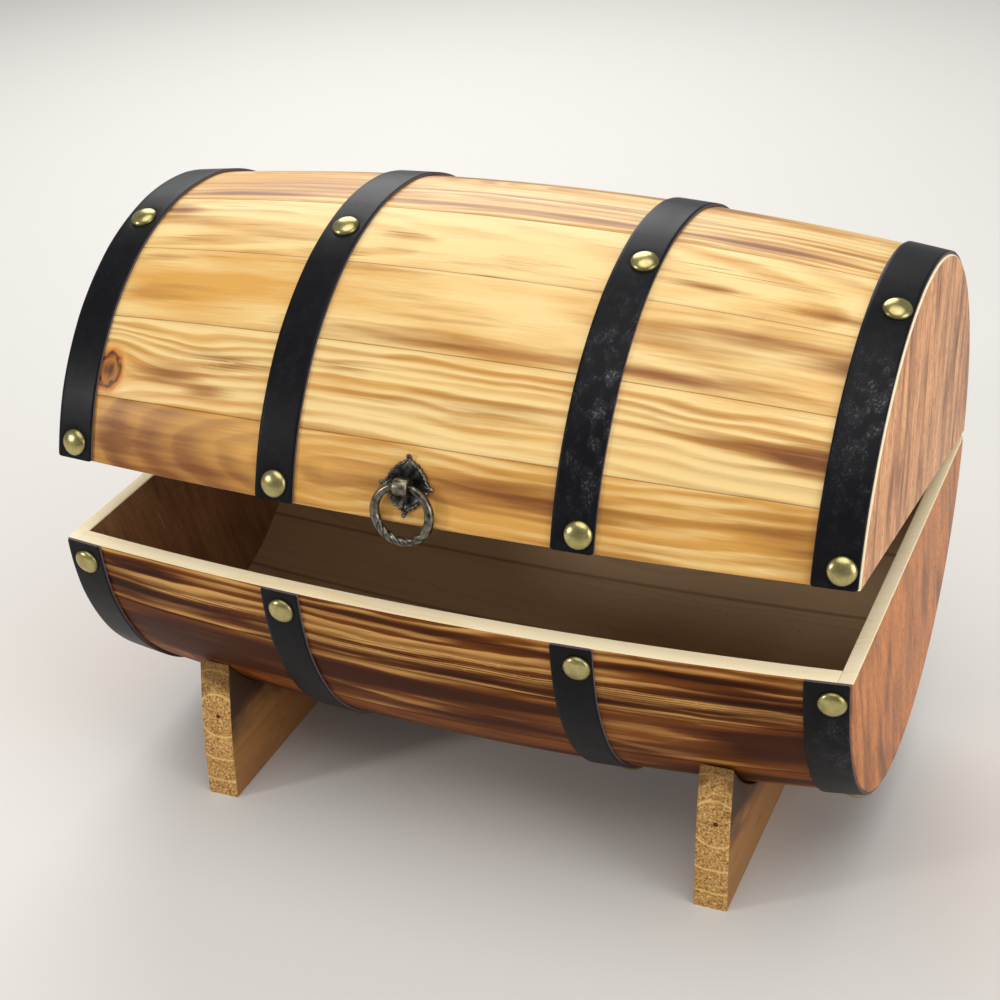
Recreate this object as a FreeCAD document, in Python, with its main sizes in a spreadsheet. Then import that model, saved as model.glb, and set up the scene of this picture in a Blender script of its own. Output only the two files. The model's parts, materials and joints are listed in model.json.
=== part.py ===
"""Barrel-shaped wooden chest: a half barrel on two cradle feet, with a half-barrel lid hinged along its back.

X runs along the barrel, +Y points to the back and +Z is up. The origin is on the table, under the middle
of the whole chest. Every piece of a half is drawn in that half's own frame: its origin is on the barrel's
axis at mid length, the joint plane of the two halves is parallel to z = 0 and the drawn wall starts at +Y.
"""
import FreeCAD, Part
import math
import os
import Sketcher
from FreeCAD import Placement, Rotation, Vector

SIZES = {
    # the barrel
    "chest_length": (500, "over the two end boards"),
    "mid_radius": (172.2, "outer radius at mid length, on the edges between the staves' flats"),
    "bend_radius": (1961, "radius that the staves are bent to"),
    "stave_wall": (12.2, "thickness of a stave at its middle"),
    "stave_turn": (18, "share of the barrel's turn that one stave takes, degrees"),
    "plane_spare": (3, "wood planed and sawn off a bent board at its edges and ends"),
    "rim_depth": (8.6, "sawn off each half, from the barrel's axis to its rim"),
    "rim_space": (0.4, "between the two rims when the lid is shut"),
    "axis_height": (199.1, "of the base's barrel axis above the table"),
    "board_thick": (8.5, "thickness of an end board"),
    # straps and their nails
    "strap_wide": (25.4, "width of a strap"),
    "strap_thick": (2.0, "thickness of a strap"),
    "strap_seat": (0.12, "between a strap and the edges of the flats under it"),
    "strap_inner": (92.5, "middle of an inner strap from mid length"),
    "strap_inset": (1.0, "from an outer strap's edge to the end board's face"),
    "nail_head": (17, "diameter of a nail's domed head"),
    "nail_dome": (4.4, "height of the dome"),
    "nail_sink": (0.3, "how far the head's rim presses into the leather"),
    "nail_shank": (2.0, "width of the nail's square shank"),
    "nail_reach": (11.0, "length of the shank under the head"),
    "nail_rise": (10.3, "the lid's rim nails above its rim, along the wall"),
    "nail_drop": (13.9, "the base's rim nails below its rim, along the wall"),
    "nail_turn": (63, "shoulder nails' angle from the barrel's level plane, degrees"),
    "nail_aside": (3.2, "off the strap's middle towards +X, for the two straps right of mid length"),
    # cradle feet
    "foot_offset": (168.2, "middle of a foot from mid length"),
    "foot_thick": (21, "thickness of a foot's board"),
    "foot_reach": (141.4, "half the foot's length on the table"),
    "foot_lean": (7.9, "how far its ends come in at the top"),
    "foot_tall": (100, "height of the uncut board's ends"),
    "foot_swell": (2.4, "how far its ends swell out of the straight line from foot to top"),
    # butt hinges on the back
    "hinge_offset": (45, "middle of a hinge from mid length"),
    "hinge_wide": (30, "width of a hinge"),
    "leaf_tall": (14, "height of a leaf below its knuckles"),
    "leaf_thick": (1.2, "thickness of a leaf"),
    "knuckle_size": (6, "diameter of a knuckle"),
    "knuckle_clear": (0.35, "between a knuckle and the wood that swings round it"),
    "knuckle_long": (10, "length of the middle knuckle"),
    "knuckle_gap": (0.3, "between two knuckles"),
    "hinge_pin": (2.4, "diameter of a hinge pin"),
    "hinge_bore": (2.5, "diameter of its bore"),
    # ring pull on the lid's front
    "pull_offset": (8, "middle of the ring pull from mid length, towards -X"),
    "pull_turn": (10.3, "angle of the ring pull above the barrel's level plane, degrees"),
    "plate_wide": (34, "width of the back plate over its two side points"),
    "plate_tall": (37, "height of the back plate over its other two points"),
    "plate_thick": (2.4, "thickness of the back plate at its border"),
    "plate_border": (2.6, "width of its raised border"),
    "plate_dish": (0.9, "depth of the dished middle"),
    "plate_root": (1.4, "wood side of the plate, cut to the lid's round"),
    "eye_wide": (9, "width of the eye block"),
    "eye_tall": (10, "height of the eye block"),
    "eye_reach": (7.4, "from the lid's surface to the eye's bore"),
    "eye_bore": (3.6, "diameter of the eye's bore"),
    "ring_radius": (17, "radius of the ring's centre line"),
    "ring_wire": (5.8, "thickness of the ring's lower half"),
    "ring_neck": (4.2, "thickness of the ring beside the eye"),
    "ring_tip": (3.4, "diameter of the ring's two tips inside the eye"),
    "ring_tip_gap": (1.4, "between the two tips"),
    "ring_neck_turn": (70, "angle from the ring's widest point up to where its arms end, degrees"),
    "ring_space": (0.3, "between the hanging ring and the lid's edge"),
    # the lid's place
    "lid_open": (9.7, "how far the lid stands open at rest, degrees"),
}
STAVES_PER_HALF = 10
FLATS_PER_STAVE = 3
DOME_SIDES = 9
WIRE_SIDES = 8
TIP_SIDES = 16
RING_SPANS = 18

doc = FreeCAD.newDocument("barrel_chest")
sheet = doc.addObject("Spreadsheet::Sheet", "sizes")
for row, (alias, (number, note)) in enumerate(SIZES.items(), start=1):
    sheet.set("A%d" % row, alias)
    sheet.set("B%d" % row, str(number))
    sheet.set("C%d" % row, note)
    sheet.setAlias("B%d" % row, alias)
doc.recompute()


def value(formula):
    """What a formula on the sheet comes to."""
    return float(sheet.evalExpression(formula))


# ---- formulas that several pieces share ----
HALF_LENGTH = "sizes.chest_length / 2"
STAVE_END = "(sizes.chest_length / 2 - sizes.board_thick)"
HALF_FLAT = "sizes.stave_turn / %d" % (2 * FLATS_PER_STAVE)
OUTER_STRAP = "(sizes.chest_length / 2 - sizes.strap_inset - sizes.strap_wide / 2)"
KNUCKLE_RISE = "(sizes.rim_depth - sizes.rim_space / 2)"
LEAF_TURN = "asin((sizes.rim_depth + sizes.leaf_tall / 2) / sizes.mid_radius)"


def wall(x):
    """The formula of the barrel's outer radius at the distance x from mid length, itself a formula."""
    return "(sizes.mid_radius - sizes.bend_radius + sqrt(sizes.bend_radius ^ 2 - (%s) ^ 2))" % x


LEAF_RADIUS = wall("sizes.hinge_offset - sizes.hinge_wide / 2")
HINGE_BACK = "((%s + sizes.knuckle_clear + sizes.knuckle_size / 2 - %s * sin(%s)) / cos(%s))" % (
    LEAF_RADIUS, KNUCKLE_RISE, LEAF_TURN, LEAF_TURN)

# ---- where the two halves lie ----
X_AXIS = Vector(1, 0, 0)
Y_AXIS = Vector(0, 1, 0)
Z_AXIS = Vector(0, 0, 1)


def turn(axis, degrees):
    """A placement that only turns."""
    return Placement(Vector(0, 0, 0), Rotation(axis, degrees))


def shift(x, y, z):
    """A placement that only moves."""
    return Placement(Vector(x, y, z), Rotation())


def lid_frame():
    """The open lid's frame. Shut, the lid's axis lies below the base's by what the saw took off both."""
    hinge = Vector(0, value(HINGE_BACK), -value(KNUCKLE_RISE))
    swing = Placement(Vector(0, 0, 0), Rotation(X_AXIS, -value("sizes.lid_open")), hinge)
    return BASE.multiply(swing).multiply(shift(0, 0, -value("2 * sizes.rim_depth - sizes.rim_space")))


BASE = shift(0, 0, value("sizes.axis_height"))
BASE_FRONT = BASE.multiply(turn(X_AXIS, 180))
BASE_BACK = BASE.multiply(turn(Y_AXIS, 180))
LID_BACK = lid_frame()
LID_FRONT = LID_BACK.multiply(turn(Z_AXIS, 180))


# ---- sketch and feature helpers ----
def new_body(label):
    """A body for one sub-part, named as its node."""
    body = doc.addObject("PartDesign::Body", label)
    body.Label = label
    return body


def origin_part(body, role):
    """One of the body's own origin planes or axes."""
    return next(f for f in body.Origin.OriginFeatures if f.Role == role)


def new_sketch(body, name, plane, along="0"):
    """A sketch parallel to one of the body's origin planes, moved along its normal."""
    sketch = body.newObject("Sketcher::SketchObject", name)
    sketch.AttachmentSupport = [(origin_part(body, plane), "")]
    sketch.MapMode = "FlatFace"
    sketch.setExpression("AttachmentOffset.Base.z", along)
    sketch.Visibility = False
    return sketch


def bind(sketch, name, kind, places, formula):
    """Adds a named constraint whose value follows a formula."""
    index = sketch.addConstraint(Sketcher.Constraint(kind, *places, value(formula)))
    sketch.renameConstraint(index, name)
    sketch.setExpression("Constraints." + name, formula)


def add_line(sketch, start, end):
    return sketch.addGeometry(Part.LineSegment(Vector(*start, 0), Vector(*end, 0)))


def join(sketch, *pairs):
    """Joins curve ends: each pair is (curve, end, curve, end), where end 1 is the start and 2 the end."""
    for a, a_end, b, b_end in pairs:
        sketch.addConstraint(Sketcher.Constraint("Coincident", a, a_end, b, b_end))


def polygon(sketch, name, corners):
    """A closed outline of straight lines. Each corner is two formulas, across and up."""
    points = [(value(across), value(up)) for across, up in corners]
    lines = [add_line(sketch, a, b) for a, b in zip(points, points[1:] + points[:1])]
    join(sketch, *[(a, 2, b, 1) for a, b in zip(lines, lines[1:] + lines[:1])])
    for number, (line, (across, up)) in enumerate(zip(lines, corners)):
        bind(sketch, "%s_across%d" % (name, number), "DistanceX", (-1, 1, line, 1), across)
        bind(sketch, "%s_up%d" % (name, number), "DistanceY", (-1, 1, line, 1), up)


def rectangle(sketch, name, left, right, low, high):
    polygon(sketch, name, [(left, low), (right, low), (right, high), (left, high)])


def circle(sketch, name, across, up, wide):
    """A circle from three formulas: its centre across and up, and its diameter."""
    centre = Vector(value(across), value(up), 0)
    index = sketch.addGeometry(Part.Circle(centre, Z_AXIS, value(wide) / 2))
    bind(sketch, name + "_across", "DistanceX", (-1, 1, index, 3), across)
    bind(sketch, name + "_up", "DistanceY", (-1, 1, index, 3), up)
    bind(sketch, name + "_wide", "Diameter", (index,), wide)


def pad(body, name, sketch, length, midplane=True):
    """Pads a sketch by a formula's length, to both sides of its plane or along its normal."""
    feature = body.newObject("PartDesign::Pad", name)
    feature.Profile = sketch
    feature.setExpression("Length", length)
    feature.Midplane = midplane
    doc.recompute()
    return feature


def cut(body, name, sketch, length=None):
    """Cuts a sketch right through the body, or along its normal by a formula's length.

    Raises an error if that takes nothing away."""
    feature = body.newObject("PartDesign::Pocket", name)
    feature.Profile = sketch
    if length is None:
        feature.Type = "ThroughAll"
        feature.Midplane = True
    else:
        feature.Reversed = True
        feature.setExpression("Length", length)
    before = feature.BaseFeature.Shape.Volume
    doc.recompute()
    if not feature.Shape.Volume < before - 1e-3:
        raise RuntimeError("%s: %s cuts nothing" % (body.Label, feature.Name))


# ---- staves ----
def make_stave(label, at_rim):
    """One bent stave with its middle at +Z: three flats outside, one inside, planed to meet its neighbours.

    A rim stave is sawn level on its +Y side instead of planed there."""
    body = new_body(label)
    board = new_sketch(body, "board_section", "YZ_Plane")
    half = "sizes.mid_radius * sin(sizes.stave_turn / 2) + sizes.plane_spare"
    shoulder = ("sizes.mid_radius * cos(sizes.stave_turn / 2)"
                " - sizes.plane_spare * tan(sizes.stave_turn / %d)" % FLATS_PER_STAVE)
    middle = ("sizes.mid_radius * sin(%s)" % HALF_FLAT, "sizes.mid_radius * cos(%s)" % HALF_FLAT)
    inside = middle[1] + " - sizes.stave_wall"
    polygon(board, "board", [("-(%s)" % half, inside), (half, inside), (half, shoulder), middle,
                             ("-" + middle[0], middle[1]), ("-(%s)" % half, shoulder)])
    bend_height = value("sizes.mid_radius - sizes.bend_radius")
    axis = add_line(board, (-value(half), bend_height), (value(half), bend_height))
    board.toggleConstruction(axis)
    board.addConstraint(Sketcher.Constraint("Symmetric", axis, 1, axis, 2, -2))
    bind(board, "axis_half", "DistanceX", (-1, 1, axis, 2), half)
    bind(board, "axis_height", "DistanceY", (-1, 1, axis, 2), "sizes.mid_radius - sizes.bend_radius")
    bent = body.newObject("PartDesign::Revolution", "bent_board")
    bent.Profile = board
    bent.ReferenceAxis = (board, ["Axis0"])
    bent.Midplane = True
    bent.setExpression("Angle", "2 * asin((%s + sizes.plane_spare) / sizes.bend_radius)" % HALF_LENGTH)
    doc.recompute()

    edges = new_sketch(body, "edge_planing", "YZ_Plane")
    edge = "(sizes.stave_turn / 2)"
    reach = "2 * sizes.mid_radius"
    for name, side, depth in (("far", "-", "0"), ("rim", "", "sizes.rim_depth" if at_rim else "0")):
        foot = ("%s(-%s * cos(%s))" % (side, depth, edge), "%s * sin(%s)" % (depth, edge))
        top = ("%s + %s(%s * sin(%s))" % (foot[0], side or "1 * ", reach, edge),
               "%s + %s * cos(%s)" % (foot[1], reach, edge))
        polygon(edges, name, [foot, top, ("%s(%s)" % (side, reach), foot[1])])
    cut(body, "planed_edges", edges)

    ends = new_sketch(body, "end_sawing", "XZ_Plane")
    beyond = "(%s + 3 * sizes.plane_spare)" % HALF_LENGTH
    low, high = wall(beyond) + " - 2 * sizes.stave_wall", "sizes.mid_radius"
    rectangle(ends, "left", "-" + beyond, "-" + STAVE_END, low, high)
    rectangle(ends, "right", STAVE_END, beyond, low, high)
    cut(body, "sawn_ends", ends)
    return body


# ---- end boards and straps, which follow the staves' flats ----
def flat_section(body, name, x, inside, outside):
    """The section at x of what covers the wall's first flat, from one height over the wall to another.

    Without an inside height it reaches in to the barrel's axis."""
    sketch = new_sketch(body, name, "YZ_Plane", x)
    sketch.AttachmentOffset = sketch.AttachmentOffset.multiply(turn(Z_AXIS, value(HALF_FLAT)))
    sketch.setExpression("AttachmentOffset.Rotation.Angle", HALF_FLAT)
    corners = [("0", "0")]
    high = "(%s + %s)" % (wall(x), outside)
    if inside is not None:
        low = "(%s + %s)" % (wall(x), inside)
        corners = [("%s * cos(%s)" % (low, HALF_FLAT), "%s%s * sin(%s)" % (side, low, HALF_FLAT))
                   for side in ("", "-")]
    corners += [("%s * cos(%s)" % (high, HALF_FLAT), "%s%s * sin(%s)" % (side, high, HALF_FLAT))
                for side in ("-", "")]
    polygon(sketch, "flat", corners)
    return sketch


def round_the_half(body, start, end, inside, outside):
    """Lofts one flat's cover between two places along X, repeats it over the half and saws it to the rim."""
    first = flat_section(body, "first_section", start, inside, outside)
    last = flat_section(body, "last_section", end, inside, outside)
    loft = body.newObject("PartDesign::AdditiveLoft", "one_flat")
    loft.Profile = first
    loft.Sections = [last]
    loft.Ruled = True
    doc.recompute()
    flats = STAVES_PER_HALF * FLATS_PER_STAVE
    pattern = body.newObject("PartDesign::PolarPattern", "all_flats")
    pattern.Originals = [loft]
    pattern.Axis = (origin_part(body, "X_Axis"), [""])
    pattern.Occurrences = flats
    pattern.setExpression("Angle", "%d * 2 * %s" % (flats - 1, HALF_FLAT))
    body.Tip = pattern
    doc.recompute()
    rim = new_sketch(body, "rim_sketch", "XY_Plane")
    reach = "(sizes.mid_radius + 2 * sizes.strap_thick)"
    rectangle(rim, "rim", start, end, "-" + reach, reach)
    cut(body, "sawn_rim", rim, "sizes.rim_depth")


def make_end_board(label):
    """A half-round end board that closes the staves' ends."""
    body = new_body(label)
    round_the_half(body, STAVE_END, HALF_LENGTH, None, "0")
    return body


def make_strap(label, middle):
    """A leather strap over one half from rim to rim, its middle at a formula's distance along X."""
    body = new_body(label)
    start, end = ("%s %s sizes.strap_wide / 2" % (middle, sign) for sign in "-+")
    round_the_half(body, start, end, "sizes.strap_seat", "sizes.strap_seat + sizes.strap_thick")
    return body


# ---- nails ----
def ring_of_sides(name, sides, radius, frame):
    """A regular outline from which a piece is lofted. Its radius, a formula, goes to its corners."""
    outline = doc.addObject("Part::RegularPolygon", name)
    outline.Polygon = sides
    outline.setExpression("Circumradius", radius)
    outline.Placement = frame
    return outline


def loft_through(name, outlines):
    """A solid of straight runs through a row of outlines."""
    loft = doc.addObject("Part::Loft", name)
    loft.Sections = outlines
    loft.Solid = True
    loft.Ruled = True
    loft.Linearize = True
    return loft


def make_nail(name):
    """A wrought nail: a head hammered to a dome of flats, over a square shank. Its head sits on z = 0."""
    outlines = []
    for level, (rise, share) in enumerate(((0, 1), (0.58, 0.76), (1, 0.28))):
        outline = ring_of_sides("%s_level%d" % (name, level), DOME_SIDES, "sizes.nail_head / 2 * %s" % share,
                                shift(0, 0, rise * value("sizes.nail_dome")))
        outline.setExpression("Placement.Base.z", "sizes.nail_dome * %s" % rise)
        outlines.append(outline)
    shank = doc.addObject("Part::Box", name + "_shank")
    shank.setExpression("Length", "sizes.nail_shank")
    shank.setExpression("Width", "sizes.nail_shank")
    shank.setExpression("Height", "sizes.nail_reach")
    shank.setExpression("Placement.Base.x", "-sizes.nail_shank / 2")
    shank.setExpression("Placement.Base.y", "-sizes.nail_shank / 2")
    shank.setExpression("Placement.Base.z", "-sizes.nail_reach")
    nail = doc.addObject("Part::Fuse", name)
    nail.Base = loft_through(name + "_dome", outlines)
    nail.Tool = shank
    doc.recompute()
    return nail


def on_wall(x, degrees, lift):
    """The place on the outer wall at x and at an angle above the level plane, with +Z pointing outward."""
    slope = math.degrees(math.asin(x / value("sizes.bend_radius")))
    at_surface = shift(x, 0, value(wall(x))).multiply(turn(Y_AXIS, slope)).multiply(shift(0, 0, lift))
    return turn(X_AXIS, degrees - 90).multiply(at_surface)


def make_strap_nails(label, frame, from_rim):
    """The nails of one half's straps, four in each: one near either rim and one on either shoulder."""
    lift = value("sizes.strap_thick + sizes.strap_seat - sizes.nail_sink")
    shoulder = value("sizes.nail_turn")
    solids = []
    right = [place + " + sizes.nail_aside" for place in ("sizes.strap_inner", OUTER_STRAP)]
    for middle in ("-" + OUTER_STRAP, "-sizes.strap_inner", *right):
        at_rim = value("asin(sizes.rim_depth / {0}) + {1} / {0} * 1 rad".format(wall(middle), from_rim))
        for degrees in (at_rim, shoulder, 180 - shoulder, 180 - at_rim):
            solid = NAIL.Shape.copy()
            solid.Placement = frame.multiply(on_wall(value(middle), degrees, lift))
            solids.append(solid)
    group = doc.addObject("Part::Feature", label)
    group.Label = label
    group.Shape = Part.makeCompound(solids)
    return group


# ---- feet ----
def make_foot(label):
    """A cradle foot: a board on edge whose two ends swell a little, sawn out to the barrel's round."""
    body = new_body(label)
    floor = -value("sizes.axis_height")
    reach, lean, tall, swell = (value("sizes.foot_" + name) for name in ("reach", "lean", "tall", "swell"))
    sketch = new_sketch(body, "board_outline", "YZ_Plane", "sizes.foot_offset")
    bottom = add_line(sketch, (-reach, floor), (reach, floor))
    top = add_line(sketch, (reach - lean, floor + tall), (lean - reach, floor + tall))
    ends = []
    for side in (1, -1):
        low, high = Vector(side * reach, floor, 0), Vector(side * (reach - lean), floor + tall, 0)
        middle = (low + high) * 0.5 + Vector(side * tall, lean, 0).normalize() * swell
        first, last = (low, high) if side > 0 else (high, low)
        ends.append(sketch.addGeometry(Part.Arc(first, middle, last)))
    right, left = ends
    join(sketch, (bottom, 2, right, 1), (right, 2, top, 1), (top, 2, left, 1), (left, 2, bottom, 1))
    sketch.addConstraint(Sketcher.Constraint("Symmetric", bottom, 1, bottom, 2, -2))
    sketch.addConstraint(Sketcher.Constraint("Symmetric", top, 1, top, 2, -2))
    sketch.addConstraint(Sketcher.Constraint("Equal", right, left))
    bind(sketch, "floor", "DistanceY", (bottom, 1, -1, 1), "sizes.axis_height")
    bind(sketch, "length", "DistanceX", (bottom, 1, bottom, 2), "2 * sizes.foot_reach")
    bind(sketch, "top", "DistanceY", (bottom, 1, top, 2), "sizes.foot_tall")
    bind(sketch, "narrow", "DistanceX", (top, 2, top, 1), "2 * (sizes.foot_reach - sizes.foot_lean)")
    bind(sketch, "bow", "Radius", (right,),
         "((sizes.foot_lean ^ 2 + sizes.foot_tall ^ 2) / 4 + sizes.foot_swell ^ 2) / (2 * sizes.foot_swell)")
    pad(body, "board", sketch, "sizes.foot_thick")
    hollow = new_sketch(body, "barrel_round", "YZ_Plane")
    circle(hollow, "barrel", "0", "0", "2 * %s" % wall("sizes.foot_offset - sizes.foot_thick / 2"))
    cut(body, "cradle", hollow)
    return body


# ---- hinges ----
def hinge_cut(body, name, start, end, diameter):
    """Cuts a round space about the hinge's axis from one place along X to another."""
    sketch = new_sketch(body, name + "_sketch", "YZ_Plane", start)
    circle(sketch, "space", HINGE_BACK, KNUCKLE_RISE, diameter)
    cut(body, name, sketch, "%s - %s" % (end, start))


def make_hinge_leaf(label, has_middle_knuckle):
    """One leaf of a butt hinge: a plate flat on the wall, with knuckles rolled at its upper edge."""
    body = new_body(label)
    plate = new_sketch(body, "plate_sketch", "YZ_Plane", "sizes.hinge_offset")
    plate.AttachmentOffset = plate.AttachmentOffset.multiply(turn(Z_AXIS, value(LEAF_TURN)))
    plate.setExpression("AttachmentOffset.Rotation.Angle", LEAF_TURN)
    rectangle(plate, "plate", LEAF_RADIUS, LEAF_RADIUS + " + sizes.leaf_thick",
              "-sizes.leaf_tall / 2", "sizes.leaf_tall / 2")
    pad(body, "plate", plate, "sizes.hinge_wide")
    roll = new_sketch(body, "knuckle_sketch", "YZ_Plane", "sizes.hinge_offset")
    circle(roll, "knuckle", HINGE_BACK, KNUCKLE_RISE, "sizes.knuckle_size")
    pad(body, "knuckles", roll, "sizes.hinge_wide")
    low, high = ("(sizes.hinge_offset %s sizes.hinge_wide / 2)" % sign for sign in "-+")
    space = "sizes.knuckle_size + 2 * sizes.knuckle_gap"
    if has_middle_knuckle:
        inner_low, inner_high = ("(sizes.hinge_offset %s sizes.knuckle_long / 2)" % sign for sign in "-+")
        hinge_cut(body, "space_one", low, inner_low, space)
        hinge_cut(body, "space_two", inner_high, high, space)
    else:
        inner_low, inner_high = ("(sizes.hinge_offset %s (sizes.knuckle_long / 2 + sizes.knuckle_gap))" % sign
                                 for sign in "-+")
        hinge_cut(body, "space", inner_low, inner_high, space)
    hinge_cut(body, "bore", low, high, "sizes.hinge_bore")
    return body


def make_hinge_pin(label):
    """The plain round pin that runs through a hinge's three knuckles."""
    pin = doc.addObject("Part::Cylinder", label)
    pin.Label = label
    pin.setExpression("Radius", "sizes.hinge_pin / 2")
    pin.setExpression("Height", "sizes.hinge_wide")
    return pin


# ---- ring pull ----
# A side of the back plate from one point to the next, as shares of its half width and half height.
PLATE_SIDE = ((1, 0), (0.82, 0.12), (0.68, 0.40), (0.40, 0.68), (0.12, 0.82))


def make_back_plate(label):
    """The ring pull's back plate: a four-pointed diamond with swelling sides, a raised border and a dish.

    It is drawn flat on z = 0, with +Y towards the lid's crown."""
    body = new_body(label)

    def diamond(sketch, border):
        across, up = "(sizes.plate_wide / 2 - %s)" % border, "(sizes.plate_tall / 2 - %s)" % border
        corners = []
        for right, top in ((1, 1), (-1, 1), (-1, -1), (1, -1)):
            run = PLATE_SIDE if right == top else [(a, b) for b, a in PLATE_SIDE]
            corners += [("%s * %s" % (right * a, across), "%s * %s" % (top * b, up)) for a, b in run]
        polygon(sketch, "side", corners)

    outline = new_sketch(body, "outline", "XY_Plane", "-sizes.plate_root")
    diamond(outline, "0")
    pad(body, "plate", outline, "sizes.plate_thick + sizes.plate_root", midplane=False)
    inner = new_sketch(body, "dish_outline", "XY_Plane", "sizes.plate_thick - sizes.plate_dish")
    diamond(inner, "sizes.plate_border")
    cut(body, "dish", inner, "sizes.plate_dish")
    wood = new_sketch(body, "wall_sketch", "YZ_Plane")
    circle(wood, "wall", "0", "-sizes.mid_radius", "2 * sizes.mid_radius")
    cut(body, "wall_side", wood)
    return body


def make_eye(label):
    """The eye block: a post with a round nose that stands in the dish, bored across for the ring."""
    body = new_body(label)
    half, reach = value("sizes.eye_tall / 2"), value("sizes.eye_reach")
    foot_level = value("sizes.plate_thick - sizes.plate_dish")
    sketch = new_sketch(body, "side_outline", "YZ_Plane")
    nose = sketch.addGeometry(Part.ArcOfCircle(Part.Circle(Vector(0, reach, 0), Z_AXIS, half), 0, math.pi))
    left = add_line(sketch, (-half, reach), (-half, foot_level))
    base = add_line(sketch, (-half, foot_level), (half, foot_level))
    right = add_line(sketch, (half, foot_level), (half, reach))
    join(sketch, (nose, 2, left, 1), (left, 2, base, 1), (base, 2, right, 1), (right, 2, nose, 1))
    for kind, *places in (("Vertical", left), ("Vertical", right), ("Horizontal", base),
                          ("Horizontal", nose, 3, left, 1), ("Horizontal", nose, 3, right, 2),
                          ("PointOnObject", nose, 3, -2)):
        sketch.addConstraint(Sketcher.Constraint(kind, *places))
    bind(sketch, "nose", "Radius", (nose,), "sizes.eye_tall / 2")
    bind(sketch, "reach", "DistanceY", (-1, 1, nose, 3), "sizes.eye_reach")
    bind(sketch, "seat", "DistanceY", (-1, 1, base, 1), "sizes.plate_thick - sizes.plate_dish")
    pad(body, "block", sketch, "sizes.eye_wide")
    bore = new_sketch(body, "bore_sketch", "YZ_Plane")
    circle(bore, "bore", "0", "sizes.eye_reach", "sizes.eye_bore")
    cut(body, "bore", bore)
    return body


def make_ring(label):
    """The ring: a round lower half, two arms that thin towards the eye, and two tips that turn in its bore.

    It is drawn about its centre in the plane y = 0, with the eye at +Z."""
    sections = []
    neck = value("sizes.ring_neck_turn")
    for number in range(RING_SPANS + 1):
        # measured from the ring's right side towards the eye, down through the bottom and up again
        angle = neck - number * (180 + 2 * neck) / RING_SPANS
        over = max(angle, -180 - angle, 0) / neck
        at = turn(Y_AXIS, -angle).multiply(shift(value("sizes.ring_radius"), 0, 0))
        at = at.multiply(turn(Z_AXIS, 180 / WIRE_SIDES))
        wire = "sizes.ring_wire / 2 + (sizes.ring_neck - sizes.ring_wire) / 2 * %.4f" % over
        sections.append(ring_of_sides("%s_section%d" % (label, number), WIRE_SIDES, wire, at))
    pieces = [loft_through(label + "_bow", sections)]
    for side, name in ((1, "right"), (-1, "left")):
        tip = doc.addObject("Part::Prism", "%s_%s_tip" % (label, name))
        tip.Polygon = TIP_SIDES
        tip.setExpression("Circumradius", "sizes.ring_tip / 2")
        tip.setExpression("Height", "sizes.ring_radius * cos(sizes.ring_neck_turn)")
        tip.Placement = turn(Y_AXIS, 90 * side)
        tip.setExpression("Placement.Base.x", "%d * sizes.ring_tip_gap / 2" % side)
        tip.setExpression("Placement.Base.z", "sizes.ring_radius * sin(sizes.ring_neck_turn)")
        pieces.append(tip)
    ring = doc.addObject("Part::MultiFuse", label)
    ring.Label = label
    ring.Shapes = pieces
    doc.recompute()
    return ring


# ---- the chest ----
SUB_PARTS = []


def place(part, frame):
    """Puts a finished sub-part in the chest's frame and lists it for export."""
    part.Placement = frame
    SUB_PARTS.append(part)


for half, front, back in (("base", BASE_FRONT, BASE_BACK), ("lid", LID_FRONT, LID_BACK)):
    for number in range(STAVES_PER_HALF):
        is_last = number == STAVES_PER_HALF - 1
        stave = make_stave("%s_stave_%d" % (half, number + 1), is_last or number == 0)
        middle = value("sizes.stave_turn") * (0.5 if is_last else number + 0.5)
        place(stave, (back if is_last else front).multiply(turn(X_AXIS, middle - 90)))
    right, left = (back, front) if half == "lid" else (front, back)
    place(make_end_board(half + "_head_left"), left)
    place(make_end_board(half + "_head_right"), right)
    inner = "sizes.strap_inner"
    straps = ((OUTER_STRAP, left), (inner, left), (inner, right), (OUTER_STRAP, right))
    for number, (middle, frame) in enumerate(straps, start=1):
        place(make_strap("%s_strap_%d" % (half, number), middle), frame)
    for side, slide in (("right" if half == "lid" else "left", "0"),
                        ("left" if half == "lid" else "right", "-2 * sizes.hinge_offset")):
        leaf = make_hinge_leaf("hinge_leaf_%s_%s" % (half, side), has_middle_knuckle=half == "lid")
        place(leaf, back.multiply(shift(value(slide), 0, 0)))
NAIL = make_nail("nail")
SUB_PARTS.append(make_strap_nails("base_strap_nails", BASE_FRONT, "sizes.nail_drop"))
SUB_PARTS.append(make_strap_nails("lid_strap_nails", LID_BACK, "sizes.nail_rise"))
place(make_foot("foot_right"), BASE)
place(make_foot("foot_left"), BASE.multiply(turn(Z_AXIS, 180)))
for side, sign in (("left", "-"), ("right", "")):
    end = value("%ssizes.hinge_offset - sizes.hinge_wide / 2" % sign)
    at_hinge = shift(end, value(HINGE_BACK), -value(KNUCKLE_RISE))
    place(make_hinge_pin("hinge_pin_" + side), BASE.multiply(at_hinge).multiply(turn(Y_AXIS, 90)))

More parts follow.
